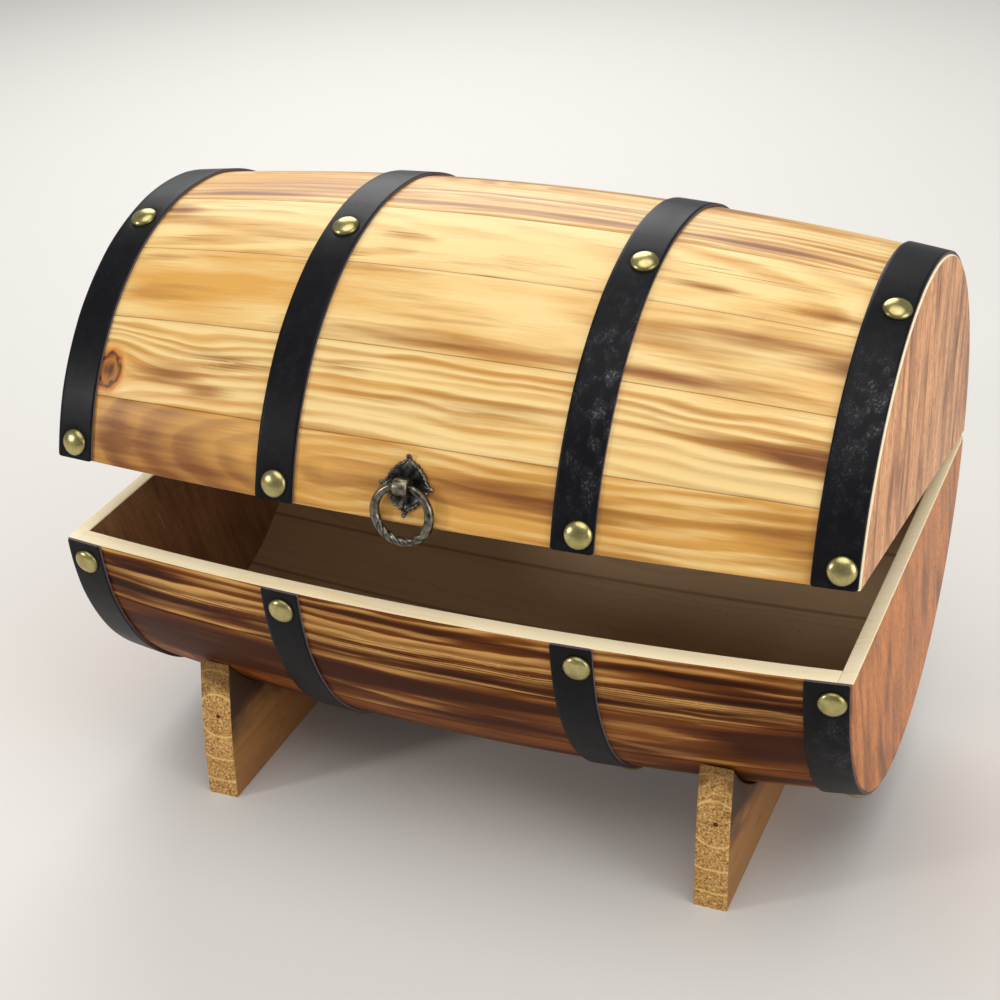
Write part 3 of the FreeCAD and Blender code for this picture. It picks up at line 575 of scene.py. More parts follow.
def aged_metal(name, bright, dark, hollow, roughness, mark):
    """Antiqued metal: dark as patina in the hollows, and as painted shade where a piece marks it,
    rubbed bright on top in patches of so many mm.
    """
    material, node = new_material(name)
    place = node("TexCoord", out="Object")
    place = node("VectorMath", [place, (1000, 1000, 1000)], **TIMES)
    patch = node("TexNoise", {"Vector": place, "Scale": 1 / mark, "Detail": 4.0, "Roughness": 0.6})
    fine = node("TexNoise", {"Vector": place, "Scale": 2.2, "Detail": 3.0, "Roughness": 0.6})
    worn = node("Math", [fine, 0.25, node("Math", [patch, 0.75], **TIMES)], **TIMES_PLUS)
    worn = node("ValToRGB", [worn], stops=[(0.36, 0.0), (0.62, 1.0)])
    metal = node("Mix", {0: worn, UNDER: dark, OVER: bright}, MIXED, **COVER)
    # darkness kept on the points: patina in hollows, and painted shade on the nail domes and the
    # eye's bore mouths
    low = node("Attribute", out="Fac", attribute_name="hollow")
    metal = node("Mix", {0: node("Math", [low, 0.9], **TIMES), UNDER: metal, OVER: hollow}, MIXED,
                 **COVER)
    rough = node("Math", [fine, 0.14, node("Math", [low, 0.2, roughness], **TIMES_PLUS)],
                 **TIMES_PLUS)
    bump = node("Bump", {"Strength": 0.12, "Distance": 0.0005, "Height": patch})
    surface = node("BsdfPrincipled", {"Base Color": metal, "Metallic": 1.0, "Roughness": rough,
                                      "Normal": bump})
    node("OutputMaterial", [surface], None)
    return material


def foot_side(name, pale, honey, char_and_shadow):
    """The feet's planed faces: yellow pine with long brown streaks, smoked and painted with shadow
    near the barrel.
    """
    material, node = new_material(name)
    year, strength = growth_rings(node)
    late = node("ValToRGB", [year], stops=[(0.0, 0.0), (0.5, 0.25), (0.85, 1.0), (1.0, 0.1)])
    late = node("Math", [late, strength], **TIMES)
    fibre = streaks(node, 18, 0.8, 5.0, detail=3.0)
    share = node("Math", [late, 0.6, node("Math", [fibre, 0.35], **TIMES)], **TIMES_PLUS)
    wood = node("Mix", {0: share, UNDER: pale, OVER: honey}, MIXED, **COVER)
    streak = node("ValToRGB", [streaks(node, 34, 7, 15.0)], stops=[(0.56, 0.0), (0.72, 0.8)])
    wood = node("Mix", {0: streak, UNDER: wood, OVER: linear("#8A4E20")}, MIXED, **COVER)
    up = node("SeparateXYZ", [node("Attribute", out="Vector", attribute_name="grain")], "Y")
    # darker towards the top: smoke, and painted shadow of the barrel above
    smoke = node("Math", [up, 1 / 45, streaks(node, 30, 12, 25.0, detail=3.0)], **TIMES_PLUS)
    smoke = node("ValToRGB", [smoke], stops=[(0.26, 0.0), (0.80, 0.9)])
    wood = node("Mix", {0: smoke, UNDER: wood, OVER: char_and_shadow}, MIXED, **COVER)
    bump = node("Bump", {"Strength": 0.3, "Distance": 0.0004, "Height": fibre})
    surface = node("BsdfPrincipled", {"Base Color": wood, "Roughness": 0.6, "Normal": bump})
    node("OutputMaterial", [surface], None)
    return material


def foot_end(name, pale, brown, dark):
    """The feet's sawn ends: furry, speckled end grain, with arcs of rings round a small pith."""
    material, node = new_material(name)
    place = node("Attribute", out="Vector", attribute_name="grain")
    wobble = streaks(node, 9, 9, 5.0, out="Color")
    place = node("VectorMath", [wobble, (3, 3, 3), place], **TIMES_PLUS)
    _, up, over = node("SeparateXYZ", [node("VectorMath", [place, (0, -13.0, -3.0)])], out=None)
    radius = node("VectorMath", [node("CombineXYZ", [up, over])], out="Value", operation="LENGTH")
    # years 17 mm wide, drawn that coarse so that they show
    rings = node("Math", [node("Math", [radius, 1 / 17], **TIMES)], operation="FRACT")
    late = node("ValToRGB", [rings], stops=[(0.0, 0.0), (0.86, 0.0), (0.93, 1.0), (1.0, 0.0)])
    cells = streaks(node, 1.5, 1.5, 15.0, detail=3.0)
    fleck = node("ValToRGB", [cells], stops=[(0.36, 0.7), (0.50, 0.0)])
    cloud = streaks(node, 14, 14, 25.0)
    fur = node("ValToRGB", [cells], stops=[(0.54, 0.0), (0.68, 0.6)])
    dot = node("ValToRGB", [node("Math", [radius, 0.4], **TIMES)], stops=[(0.55, 1.0), (0.8, 0.0)])
    # the top under the barrel is darker: smoke browned it, and painted shadow of the barrel lies on
    # it
    smoke = node("Math", [up, 1 / 60, cloud], **TIMES_PLUS)
    smoke = node("ValToRGB", [smoke], stops=[(0.72, 0.0), (1.0, 0.7)])
    wood = pale
    for mark, shade in ((cloud, brown), (fleck, dark), (fur, linear("#F2D69C")),
                        (late, linear("#E8BE74")), (dot, linear("#5A2E14")), (smoke, dark)):
        wood = node("Mix", {0: mark, UNDER: wood, OVER: shade}, MIXED, **COVER)
    bump = node("Bump", {"Strength": 0.7, "Distance": 0.0007, "Height": cells})
    surface = node("BsdfPrincipled", {"Base Color": wood, "Roughness": 0.85,
                                      "Specular IOR Level": 0.2, "Normal": bump})
    node("OutputMaterial", [surface], None)
    return material


def plain_floor(name, shade):
    """Painted board: even, matt and pale."""
    material, node = new_material(name)
    cloud = node("TexNoise", {"Vector": node("TexCoord", out="Object"), "Scale": 3.0,
                              "Detail": 2.0})
    cloud = node("Math", [cloud, 0.06], **TIMES)
    paint = node("Mix", {0: cloud, UNDER: shade, OVER: linear("#CFCAC4")}, MIXED, **COVER)
    surface = node("BsdfPrincipled", {"Base Color": paint, "Roughness": 0.75})
    node("OutputMaterial", [surface], None)
    return material


# ---- staves ----
# Points over a stave's outer and inner face, how far in the two chords of its eased edge meet, as a
# share, and sections along it.
OUTER_POINTS, INNER_POINTS, EASE_MEETS, STAVE_SECTIONS = 21, 9, 0.3, 121
# How far from a seam its stain may reach, on the outer and on the inner face, in mm.
SEAM_STAIN, SEAM_STAIN_INSIDE = 3.0, 5.0
# What the knot value is at a knot's edge, and how far round a knot the grain bends, as shares of
# its half length and half width, and how closely it then follows the knot.
KNOT_EDGE, KNOT_BEND, KNOT_FOLLOW = 0.6, (2.6, 1.6), 0.8
# Each stave's figure, front rim first. The first three numbers give where the tree's pith lay: mm
# from the stave's middle, mm below its face, and mm that the board runs off it in each mm. Then
# come the gap between two years in mm, and how strong the stave's browned bands, hairlines and
# honey tone are.
LID_BOARDS = [
    ((4, 3, 0.0), 6.5, (0.60, 0.3, 0.14)),
    ((-62, 34, 0.02), 6.0, (1.0, 0.5, -0.10)),
    ((20, 70, -0.09), 16, (0.10, 0.4, 0.02)),
    ((-8, 26, 0.12), 10, (0.25, 1.0, -0.10)),
    ((80, 20, 0.02), 6.2, (0.45, 0.3, 0.0)),
    ((-20, 22, -0.10), 7, (0.40, 0.5, 0.0)),
    ((50, 26, 0.05), 6, (0.80, 0.6, -0.05)),
    ((-15, 18, 0.13), 8, (0.35, 0.6, 0.05)),
    ((65, 30, -0.03), 6, (0.70, 0.7, 0.0)),
    ((5, 20, 0.09), 7, (0.40, 0.6, 0.10)),
]
BASE_BOARDS = [
    ((-85, 24, 0.01), 7.0, (0.9, 0.5, -0.05)),
    ((40, 60, 0.06), 9, (0.30, 0.3, 0.10)),
    ((-20, 26, -0.09), 8, (0.60, 0.3, 0.35)),
    ((60, 22, 0.03), 6, (0.80, 0.5, 0.15)),
    ((-8, 28, 0.12), 8, (0.50, 0.5, 0.25)),
    ((20, 18, -0.08), 7, (0.60, 0.5, 0.15)),
    ((-60, 24, 0.05), 6, (0.80, 0.5, 0.10)),
    ((12, 30, 0.10), 8, (0.50, 0.5, 0.20)),
    ((-30, 22, -0.07), 7, (0.70, 0.5, 0.15)),
    ((70, 28, 0.02), 6, (0.90, 0.5, 0.0)),
]
# Where a pith turns away from the face: left of this place along X, by so many mm in each mm. The
# rings run out there in nested U shapes.
SWERVES = {("lid", 1): (-60, 0.22), ("lid", 6): (20, 0.16), ("base", 3): (-40, 0.15),
           ("base", 8): (60, 0.2)}
# Where the torch browned the staves that face the front, as spots() takes them: across grows from
# the rim.
TORCH_MARKS = {
    ("lid", 1): [(-195, 0, 50, 26, 0.25), (-120, -6, 50, 14, 0.25), (-175, 2, 65, 30, 0.5),
                 (45, 8, 60, 9, 0.95), (95, 2, 40, 5, 0.5), (-35, 0, 50, 7, 0.45),
                 (60, -19, 120, 2.6, 0.6),
                 (-204, 2, 10, 14, 0.35), (-150, -14, 60, 6, 0.35), (205, 14, 40, 9, 0.55),
                 (230, -4, 30, 14, 0.5), (125, -12, 30, 4, 0.35), (-235, 0, 14, 30, 0.4)],
    ("lid", 2): [(222, -1, 30, 8, 1.15), (185, 2, 45, 3, 0.8), (-176, -8, 24, 5, 0.75),
                 (-148, -15, 15, 4, 0.7), (-135, 4, 22, 5, 0.45), (-60, 10, 25, 4, 0.5),
                 (20, -2, 70, 8, 0.4), (-10, -23, 80, 4, -0.6)],
    ("lid", 3): [(-10, -21, 95, 5, 0.6), (-190, -6, 34, 9, 0.15), (-205, 18, 24, 4, 0.35),
                 (176, 13, 46, 5, 0.75), (226, 4, 22, 7, 0.85), (135, -20, 46, 4, 0.9),
                 (160, 0, 80, 16, 0.3), (40, 16, 60, 6, -0.3)],
    ("lid", 4): [(-216, 12, 15, 9, 0.7), (-190, 2, 20, 4, 0.25), (138, -10, 22, 3, 0.7),
                 (214, -14, 24, 4, 0.9), (-30, -18, 90, 5, 0.2), (60, 12, 70, 6, -0.3)],
    ("lid", 5): [(-176, -17, 44, 4, 0.8), (-170, 0, 60, 20, 0.3), (-60, -14, 60, 3, 0.4),
                 (40, -18, 90, 4, 0.8), (157, -15, 55, 5, 0.95), (-10, -4, 160, 2.4, 0.45),
                 (70, 6, 120, 3, 0.4), (200, -2, 40, 3, 0.5)],
    ("base", 1): [(-195, -8, 34, 5, 1.1), (-150, 14, 70, 4, 0.7), (-50, -12, 60, 3.5, 0.9),
                  (30, -9, 60, 3, 0.7), (160, -7, 80, 3.5, 1.1), (205, 5, 50, 8, 1.0),
                  (40, 20, 220, 4, 0.9), (-215, 10, 30, 12, 0.7)],
    ("base", 2): [(0, 4, 220, 30, 0.5), (118, -4, 42, 10, -0.9), (-20, 8, 30, 7, -0.6),
                  (-75, -11, 62, 8, 1.4), (-190, 0, 60, 26, 0.9), (-150, 14, 50, 9, 0.9),
                  (50, -14, 70, 6, 1.2), (215, -8, 46, 16, 1.5), (60, 16, 140, 7, 0.5),
                  (-160, -8, 40, 5, -0.2)],
    ("base", 3): [(-100, 4, 90, 14, 1.0), (60, 8, 80, 10, 0.9), (190, 0, 60, 12, 1.1)],
}
# Where the wood is evenly honey brown, in the same form.
HONEY_CLOUDS = {
    ("lid", 1): [(-165, 2, 75, 30, 0.6)],
    ("lid", 3): [(-170, 0, 60, 24, 0.32)],
    ("lid", 5): [(-165, 4, 60, 22, 0.7)],
    ("lid", 6): [(-140, 0, 80, 26, 0.8)],
}
# Tight years that show as dense thin lines, in the same form.
DENSE_YEARS = {
    ("base", 1): [(60, 12, 170, 7, 1.1), (-150, 8, 60, 6, 0.8)],
    ("lid", 2): [(-140, 4, 26, 5, 0.6)],
    ("lid", 5): [(0, 0, 200, 10, 0.35)],
    ("base", 10): [(-40, -8, 150, 8, 0.9)],
}
# Knots by half and stave: place along and across, half length and half width, in mm.
KNOTS = {
    ("lid", 2): [(-218, -9, 8.5, 11)],
    ("lid", 8): [(120, -6, 8, 7)],
    ("base", 6): [(-90, 5, 9, 7)],
    ("base", 9): [(160, -3, 7, 5)],
}


def torch_marks(half, number):
    """The torch's marks on a stave: those above, or random ones where it doesn't face the front."""
    if (half, number + 1) in TORCH_MARKS:
        return TORCH_MARKS[half, number + 1]
    dice = random.Random(number + (50 if half == "lid" else 80))
    ranges = (-230, 230), (-22, 22), (30, 90), (4, 9), (0.3, 0.8)
    return [tuple(dice.uniform(*each) for each in ranges) for _ in range(8)]


def stave_loop(radius, number):
    """One stave's section where the barrel has that radius, as rows of angle in degrees and radius.

    It goes over the outer face, down one planed edge, along the inner face and up the other."""
    s = sizes()
    step = 180 / STAVES

    def ends(r):
        low = rim_turn(r) if number == 0 else number * step
        return low, 180 - rim_turn(r) if number == STAVES - 1 else (number + 1) * step

    low, high = ends(radius)
    edge = s["seam_round"]
    ease = math.degrees(edge / radius)
    outer = np.linspace(low + ease, high - ease, OUTER_POINTS)
    loop = [(turn, radius - crown_drop(turn)) for turn in outer]
    meets = radius - edge * EASE_MEETS
    loop += [(high - ease * EASE_MEETS, meets), (high, radius - edge)]
    inner = radius - s["stave_wall"]
    low_in, high_in = ends(inner)
    loop += [(turn, inner) for turn in np.linspace(high_in, low_in, INNER_POINTS)]
    loop += [(low, radius - edge), (low + ease * EASE_MEETS, meets)]
    return np.array(loop)


def add_stave(half, number, materials):
    """One stave, its long edges eased, with the wood's own coordinates on its points."""
    s = sizes()
    step = 180 / STAVES
    reach = s["chest_length"] / 2 - s["board_thick"]
    points, along, across, depth = [], [], [], []
    for x in np.linspace(-reach, reach, STAVE_SECTIONS):
        radius = float(wall(x))
        turn, r = stave_loop(radius, number).T
        angles = np.radians(turn)
        points.append(np.column_stack([np.full(len(turn), x), -r * np.cos(angles),
                                       r * np.sin(angles)]))
        along.append(np.full(len(turn), x))
        across.append(np.radians(turn - (number + 0.5) * step) * radius)
        depth.append(radius - r)
    around = len(points[0])
    along, across, depth = (np.concatenate(rows) for rows in (along, across, depth))
    stained = np.where(depth < s["stave_wall"] / 2, SEAM_STAIN, SEAM_STAIN_INSIDE)
    half_width = math.radians(step / 2) * wall(along)
    key = (half, number + 1)
    knot = np.ones(len(along))
    flow = across.copy()
    for u, v, half_long, half_wide in KNOTS.get(key, []):
        off_along, off_across = (along - u) / half_long, (across - v) / half_wide
        knot = np.minimum(knot, KNOT_EDGE * np.hypot(off_along, off_across))
        # the grain parts and flows round a knot
        near = np.exp(-(off_along / KNOT_BEND[0]) ** 2 - (off_across / KNOT_BEND[1]) ** 2)
        flow += (v - across) * KNOT_FOLLOW * near
    pith, gap, marks = (LID_BOARDS if half == "lid" else BASE_BOARDS)[number]
    tone = marks[2] + spots(HONEY_CLOUDS.get(key, []), along, across)
    turn_off, slope = SWERVES.get(key, (0, 0))
    facts = {
        "grain": np.column_stack([along, flow, depth]),
        "swerve": slope * np.maximum(turn_off - along, 0),
        "torch": spots(torch_marks(half, number), along, across),
        "dense": np.clip(spots(DENSE_YEARS.get(key, []), along, across), 0, 1),
        "edge": np.clip((half_width - np.abs(across)) / stained, 0, 1),
        "knot": knot,
        "pith": pith,
        "gap": gap,
        "marks": np.column_stack([np.full((len(along), 2), marks[:2]), tone]),
        "seed": number * 1.7 + (31.0 if half == "lid" else 3.0),
    }
    # the outer face and its eased edges are varnished, and the planed and sawn faces are bare
    varnished, bare, inside = 0, 1, 2
    low = bare if number == 0 else varnished
    high = bare if number == STAVES - 1 else varnished
    kinds = ([varnished] * OUTER_POINTS + [high, bare] + [inside] * (INNER_POINTS - 1)
             + [bare, low, varnished])
    which = kinds * (STAVE_SECTIONS - 1) + [bare, bare]
    name = "%s_stave_%d" % key
    piece = add_piece(name + "_wood", half,
                      place_points(np.concatenate(points), half_place(half)),
                      loft_faces(STAVE_SECTIONS, around), materials, which, facts)
    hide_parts(name)


class CHEST_OT_add_staves(bpy.types.Operator):
    """Add the ten bent staves of the base and of the lid"""
    bl_idname = "chest.add_staves"
    bl_label = "Staves"

    def execute(self, context):
        inside = plain_pine("raw planed pine", tint("raw_wood"), linear("#B8966C"), 0.72,
                            specks=0.8, seam=0.45)
        rim = plain_pine("sawn pine rim", tint("sawn_wood"), linear("#F0D8A4"), 0.85, saw=0.6)
        outside = {
            "lid": varnished_pine("torched and varnished pine, honey", tint("pine_pale"),
                                  tint("pine_honey"), tint("pine_brown"), seam=0.28, shine=0.3),
            # the base's darker copy of the pine: heavier torching, and painted shade of the
            # underside
            "base": varnished_pine("torched and varnished pine, dark", tint("shaded_base_pale"),
                                   tint("shaded_base_honey"), tint("shaded_base_brown"), seam=0.75, shine=0.08),
        }
        for half in ("base", "lid"):
            for number in range(STAVES):
                add_stave(half, number, [outside[half], rim, inside])
        return {"FINISHED"}


# ---- end boards ----
# The boards' grain leans off the upright by this many degrees.
GRAIN_LEAN = {"base": -20, "lid": 8}
# How closely a board's round follows the staves' flats, and the rounding of its edges in mm.
BOARD_FOLLOWS, BOARD_EDGE = 0.5, 0.7


def board_outline(x):
    """A half-round end board's outline at x, in the half's frame: level rim and round wall."""
    radius = float(wall(x))
    turns = np.linspace(rim_turn(radius), 180 - rim_turn(radius), 91)
    radii = radius - crown_drop(turns) * BOARD_FOLLOWS
    return [(-r * math.cos(math.radians(t)), r * math.sin(math.radians(t)))
            for t, r in zip(turns, radii)]


class CHEST_OT_add_end_boards(bpy.types.Operator):
    """Add the four half-round end boards"""
    bl_idname = "chest.add_end_boards"
    bl_label = "End boards"

    def execute(self, context):
        edge_wood = plain_pine("sawn pine board edge", tint("sawn_wood"), linear("#F0D8A4"), 0.85,
                               saw=0.6)
        inner = stained_board("stained board, inside", linear("#A87850"), linear("#946442"),
                              linear("#6A4630"))
        outer = {
            "lid": stained_board("walnut stained board, rosy", tint("lid_board"), linear("#C88A62"),
                                 tint("board_streak")),
            "base": stained_board("walnut stained board, tan", tint("base_board"),
                                  linear("#C47638"), tint("board_streak")),
        }
        for half in ("base", "lid"):
            for side, sign, seed in (("left", -1, 2.0), ("right", 1, 11.0)):
                self.add_board(half, side, sign, seed + (5.0 if half == "lid" else 0.0),
                               [inner, edge_wood, outer[half]])
        return {"FINISHED"}

    def add_board(self, half, side, sign, seed, materials):
        s = sizes()
        start, end = s["chest_length"] / 2 - s["board_thick"], s["chest_length"] / 2
        loops = board(board_outline, start, end, BOARD_EDGE)
        around = len(loops[0])
        points = np.concatenate(loops)
        lean = math.radians(GRAIN_LEAN[half])
        aside, up = points[:, 1], points[:, 2]
        grain = np.column_stack([up * math.cos(lean) - aside * math.sin(lean),
                                 aside * math.cos(lean) + up * math.sin(lean), points[:, 0]])
        points[:, 0] *= sign
        # the lid's board is sawn all round, and the base's is stained but for its sawn rim
        inside, sawn, stained = 0, 1, 2
        rings = [sawn] * around if half == "lid" else [stained] * (around - 1) + [sawn]
        which = rings * (len(loops) - 1) + [inside, stained]
        name = "%s_head_%s" % (half, side)
        piece = add_piece(name + "_board", half,
                          place_points(points, half_place(half)),
                          loft_faces(len(loops), around), materials, which,
                          {"grain": grain, "seed": seed, "pith": (300.0, 20.0, 0.02), "gap": 5.0})
        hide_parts(name)


# ---- straps and nails ----
# Dusty rubbed places on the straps, by half and strap: the angle from the front, how far round it
# spreads, both in degrees, and how dusty it is.
DUST = {("lid", 2): (33, 15, 0.7), ("lid", 3): (36, 12, 0.55), ("base", 3): (22, 10, 0.3)}
# How dusty a strap is elsewhere, and how dusty its left side is as a share of its right.
CLEAN, LEFT_SIDE = 0.04, 0.3
# How closely a strap follows the staves' flats, and the rounding of its four corners in mm.
STRAP_FOLLOWS, STRAP_CORNER = 0.7, 1.6
# A nail draws the leather down by PRESS under the head, which fades out over PRESS_FADE beyond
# PRESS_REACH.
PRESS, PRESS_REACH, PRESS_FADE = 0.55, 6.5, 5.5
# How far a nail's rim sits below the strap's upper face, in mm.
NAIL_SINK = 0.5


def strap_middles():
    """The middles of the four straps along X."""
    s = sizes()
    outer = s["chest_length"] / 2 - s["strap_inset"] - s["strap_wide"] / 2
    return -outer, -s["strap_inner"], s["strap_inner"], outer


def nail_turns(half, x):
    """The angles from the front of a strap's four nails, in degrees."""
    s = sizes()
    radius = float(wall(x))
    from_rim = s["nail_rise"] if half == "lid" else s["nail_drop"]
    rim = rim_turn(radius) + math.degrees(from_rim / radius)
    shoulder = math.degrees(s["nail_turn"])
    return rim, shoulder, 180 - shoulder, 180 - rim


def strap_section(shrink):
    """A strap's section as rows of across and height share, made narrower by shrink each side."""
    half = sizes()["strap_wide"] / 2 - shrink
    top = [(across, 1.0) for across in np.linspace(half - 0.6, 0.6 - half, 17)]
    return np.array([(half - 0.1, 0.0), (half, 0.35), (half - 0.12, 0.8)] + top
                    + [(0.12 - half, 0.8), (-half, 0.35), (0.1 - half, 0.0)])


class CHEST_OT_add_straps(bpy.types.Operator):
    """Add the eight leather straps"""
    bl_idname = "chest.add_straps"
    bl_label = "Leather straps"

    def execute(self, context):
        skin = strap_leather("rolled black harness leather", tint("leather"), linear("#8E8C90"))
        edge = cut_leather("cut leather edge", tint("leather_edge"))
        for half in ("base", "lid"):
            for number, middle in enumerate(strap_middles()):
                self.add_strap(half, number, middle, [skin, edge])
        return {"FINISHED"}

    def add_strap(self, half, number, middle, materials):
        s = sizes()
        radius = float(wall(middle))
        rim = rim_turn(radius)
        tips = rim + np.array([0, 0.12, 0.3, 0.6, 1.0])
        turns = np.concatenate([tips, np.linspace(rim + 1.5, 178.5 - rim, 216), 180 - tips[::-1]])
        aside = s["nail_aside"] if middle > 0 else 0.0
        nails = nail_turns(half, middle + aside)
        spot, spread, dust = DUST.get((half, number), (0, 1, 0))
        points, grain, wear = [], [], []
        for turn in turns:
            from_tip = math.radians(min(turn - rim, 180 - rim - turn)) * radius
            in_corner = max(STRAP_CORNER - from_tip, 0)
            shrink = STRAP_CORNER - math.sqrt(STRAP_CORNER ** 2 - in_corner ** 2)
            across, share = strap_section(shrink).T
            gaps = [np.hypot(across - aside, math.radians(turn - nail) * radius) for nail in nails]
            beyond = np.maximum(np.min(gaps, axis=0) - PRESS_REACH, 0)
            press = PRESS * np.maximum(0, 1 - beyond / PRESS_FADE) ** 2
            r = (wall(middle + across) - STRAP_FOLLOWS * crown_drop(turn) + s["strap_seat"]
                 + s["strap_thick"] * share)
            r -= press * (share > 0.5)
            way = math.radians(turn)
            points.append(np.column_stack([middle + across, -r * math.cos(way), r * math.sin(way)]))
            grain.append(np.column_stack([np.full(len(across), way * radius), across, share * 2]))
            side = LEFT_SIDE + (1 - LEFT_SIDE) * np.clip(0.5 + across / 10, 0, 1)
            wear.append(CLEAN + dust * side * math.exp(-((turn - spot) / spread) ** 2))
        around = len(points[0])
        skin, cut = 0, 1
        which = ([cut] * 2 + [skin] * (around - 5) + [cut] * 3) * (len(turns) - 1) + [cut, cut]
        name = "%s_strap_%d" % (half, number + 1)
        piece = add_piece(name + "_leather", half,
                          place_points(np.concatenate(points), half_place(half)),
                          loft_faces(len(turns), around), materials, which,
                          {"grain": np.concatenate(grain), "wear": np.concatenate(wear),
                           "seed": number * 2.3 + (17 if half == "lid" else 1)}, sharp=60)
        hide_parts(name)


class CHEST_OT_add_strap_nails(bpy.types.Operator):
    """Add the domed nails that hold the straps"""
    bl_idname = "chest.add_strap_nails"
    bl_label = "Strap nails"

    # The head's section: how far out and how high each ring of points lies, as shares of radius and
    # rise.
    PROFILE = [(0.90, -0.35), (0.985, -0.25), (1.0, 0.02), (0.985, 0.12)] + [
        (math.sin(t), math.cos(t) ** 0.92) for t in np.linspace(1.36, 0.12, 9)]
    SIDES = 36
    # The hammer's shallow dents: how many on each head, and the square of their reach as a share of
    # its radius.
    DENTS, DENT_REACH = 5, 0.06

    def execute(self, context):
        # the dark colour lies as patina at each head's edge and as painted shade down its dome
        brass = aged_metal("antiqued brass, stamped", tint("brass"), linear("#9A8C58"),
                           linear("#241C10"), 0.2, 9.0)
        s = sizes()
        dice = random.Random(5)
        for half in ("base", "lid"):
            points, faces, hollow = [], [], []
            for middle in strap_middles():
                x = middle + (s["nail_aside"] if middle > 0 else 0.0)
                for turn in nail_turns(half, x):
                    seat = (float(wall(x)) + s["strap_seat"] + s["strap_thick"] - NAIL_SINK
                            - STRAP_FOLLOWS * float(crown_drop(turn)))
                    at = (half_place(half) @ Matrix.Rotation(math.radians(90 - turn), 4, "X")
                          @ Matrix.Translation((x, 0, seat))
                          @ Matrix.Rotation(math.asin(x / s["bend_radius"]), 4, "Y")
                          @ Matrix.Rotation(dice.uniform(0, 2 * math.pi), 4, "Z"))
                    self.add_head(at, dice, points, faces, hollow)
            piece = add_piece(half + "_strap_nail_heads", half, points, faces,
                              [brass], None, {"hollow": hollow}, sharp=70)
            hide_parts(half + "_strap_nails")
        return {"FINISHED"}

    def add_head(self, at, dice, points, faces, hollow):
        """One head, its dome a little uneven."""
        s = sizes()
        first, rows = len(points), len(self.PROFILE)
        dents = []
        for _ in range(self.DENTS):
            way = dice.uniform(0, 2 * math.pi)
            far = dice.uniform(0.3, 0.8)
            dents.append((far * math.cos(way), far * math.sin(way), dice.uniform(-0.06, 0.06)))
        local = []
        for share, height in self.PROFILE:
            for k in range(self.SIDES):
                a = 2 * math.pi * k / self.SIDES
                x, y = share * math.cos(a), share * math.sin(a)
                dent = sum(deep * math.exp(-((x - u) ** 2 + (y - v) ** 2) / self.DENT_REACH)
                           for u, v, deep in dents)
                local.append((x * s["nail_head"] / 2, y * s["nail_head"] / 2,
                              height * s["nail_dome"] + (dent if height > 0.2 else 0)))
                # patina darkens the edge; the dome's lower slope is darkened as painted dark
                # reflection of the leather round it
                hollow.append(1.0 if height < 0.1 else max(0.0, 0.9 - 1.5 * height))
        local.append((0, 0, s["nail_dome"]))
        hollow.append(0)
        points += [tuple(p) for p in place_points(local, at)]
        faces += loft_faces(rows, self.SIDES, first, capped=False)
        faces.append(tuple(range(first + self.SIDES - 1, first - 1, -1)))
        top, peak = first + (rows - 1) * self.SIDES, first + rows * self.SIDES
        faces += [(top + k, top + (k + 1) % self.SIDES, peak) for k in range(self.SIDES)]


# ---- feet ----
# Between a foot's saddle and the barrel, and the rounding of a foot's edges, in mm.
FOOT_GAP, FOOT_EDGE = 0.05, 0.8


def foot_outline(_x):
    """A foot's outline in Y and Z: level bottom, slightly swollen ends and a round saddle."""
    s = sizes()
    height = s["axis_height"]
    radius = float(wall(s["foot_offset"] - s["foot_thick"] / 2)) + FOOT_GAP

    def end(z):
        share = z / s["foot_tall"]
        return s["foot_reach"] - s["foot_lean"] * share + s["foot_swell"] * 4 * share * (1 - share)

    # the end meets the barrel's round where both have the same height
    top = s["foot_tall"]
    for _ in range(30):
        top = min(height - math.sqrt(radius ** 2 - end(top) ** 2), s["foot_tall"])
    bottom = [(y, 0.0) for y in np.linspace(-s["foot_reach"], s["foot_reach"], 12)]
    right = [(end(z), z) for z in np.linspace(0, top, 16)[1:]]
    half_turn = math.asin(end(top) / radius)
    saddle = [(radius * math.sin(t), height - radius * math.cos(t))
              for t in np.linspace(half_turn, -half_turn, 60)[1:-1]]
    return bottom + right + saddle + [(-y, z) for y, z in right[::-1]]


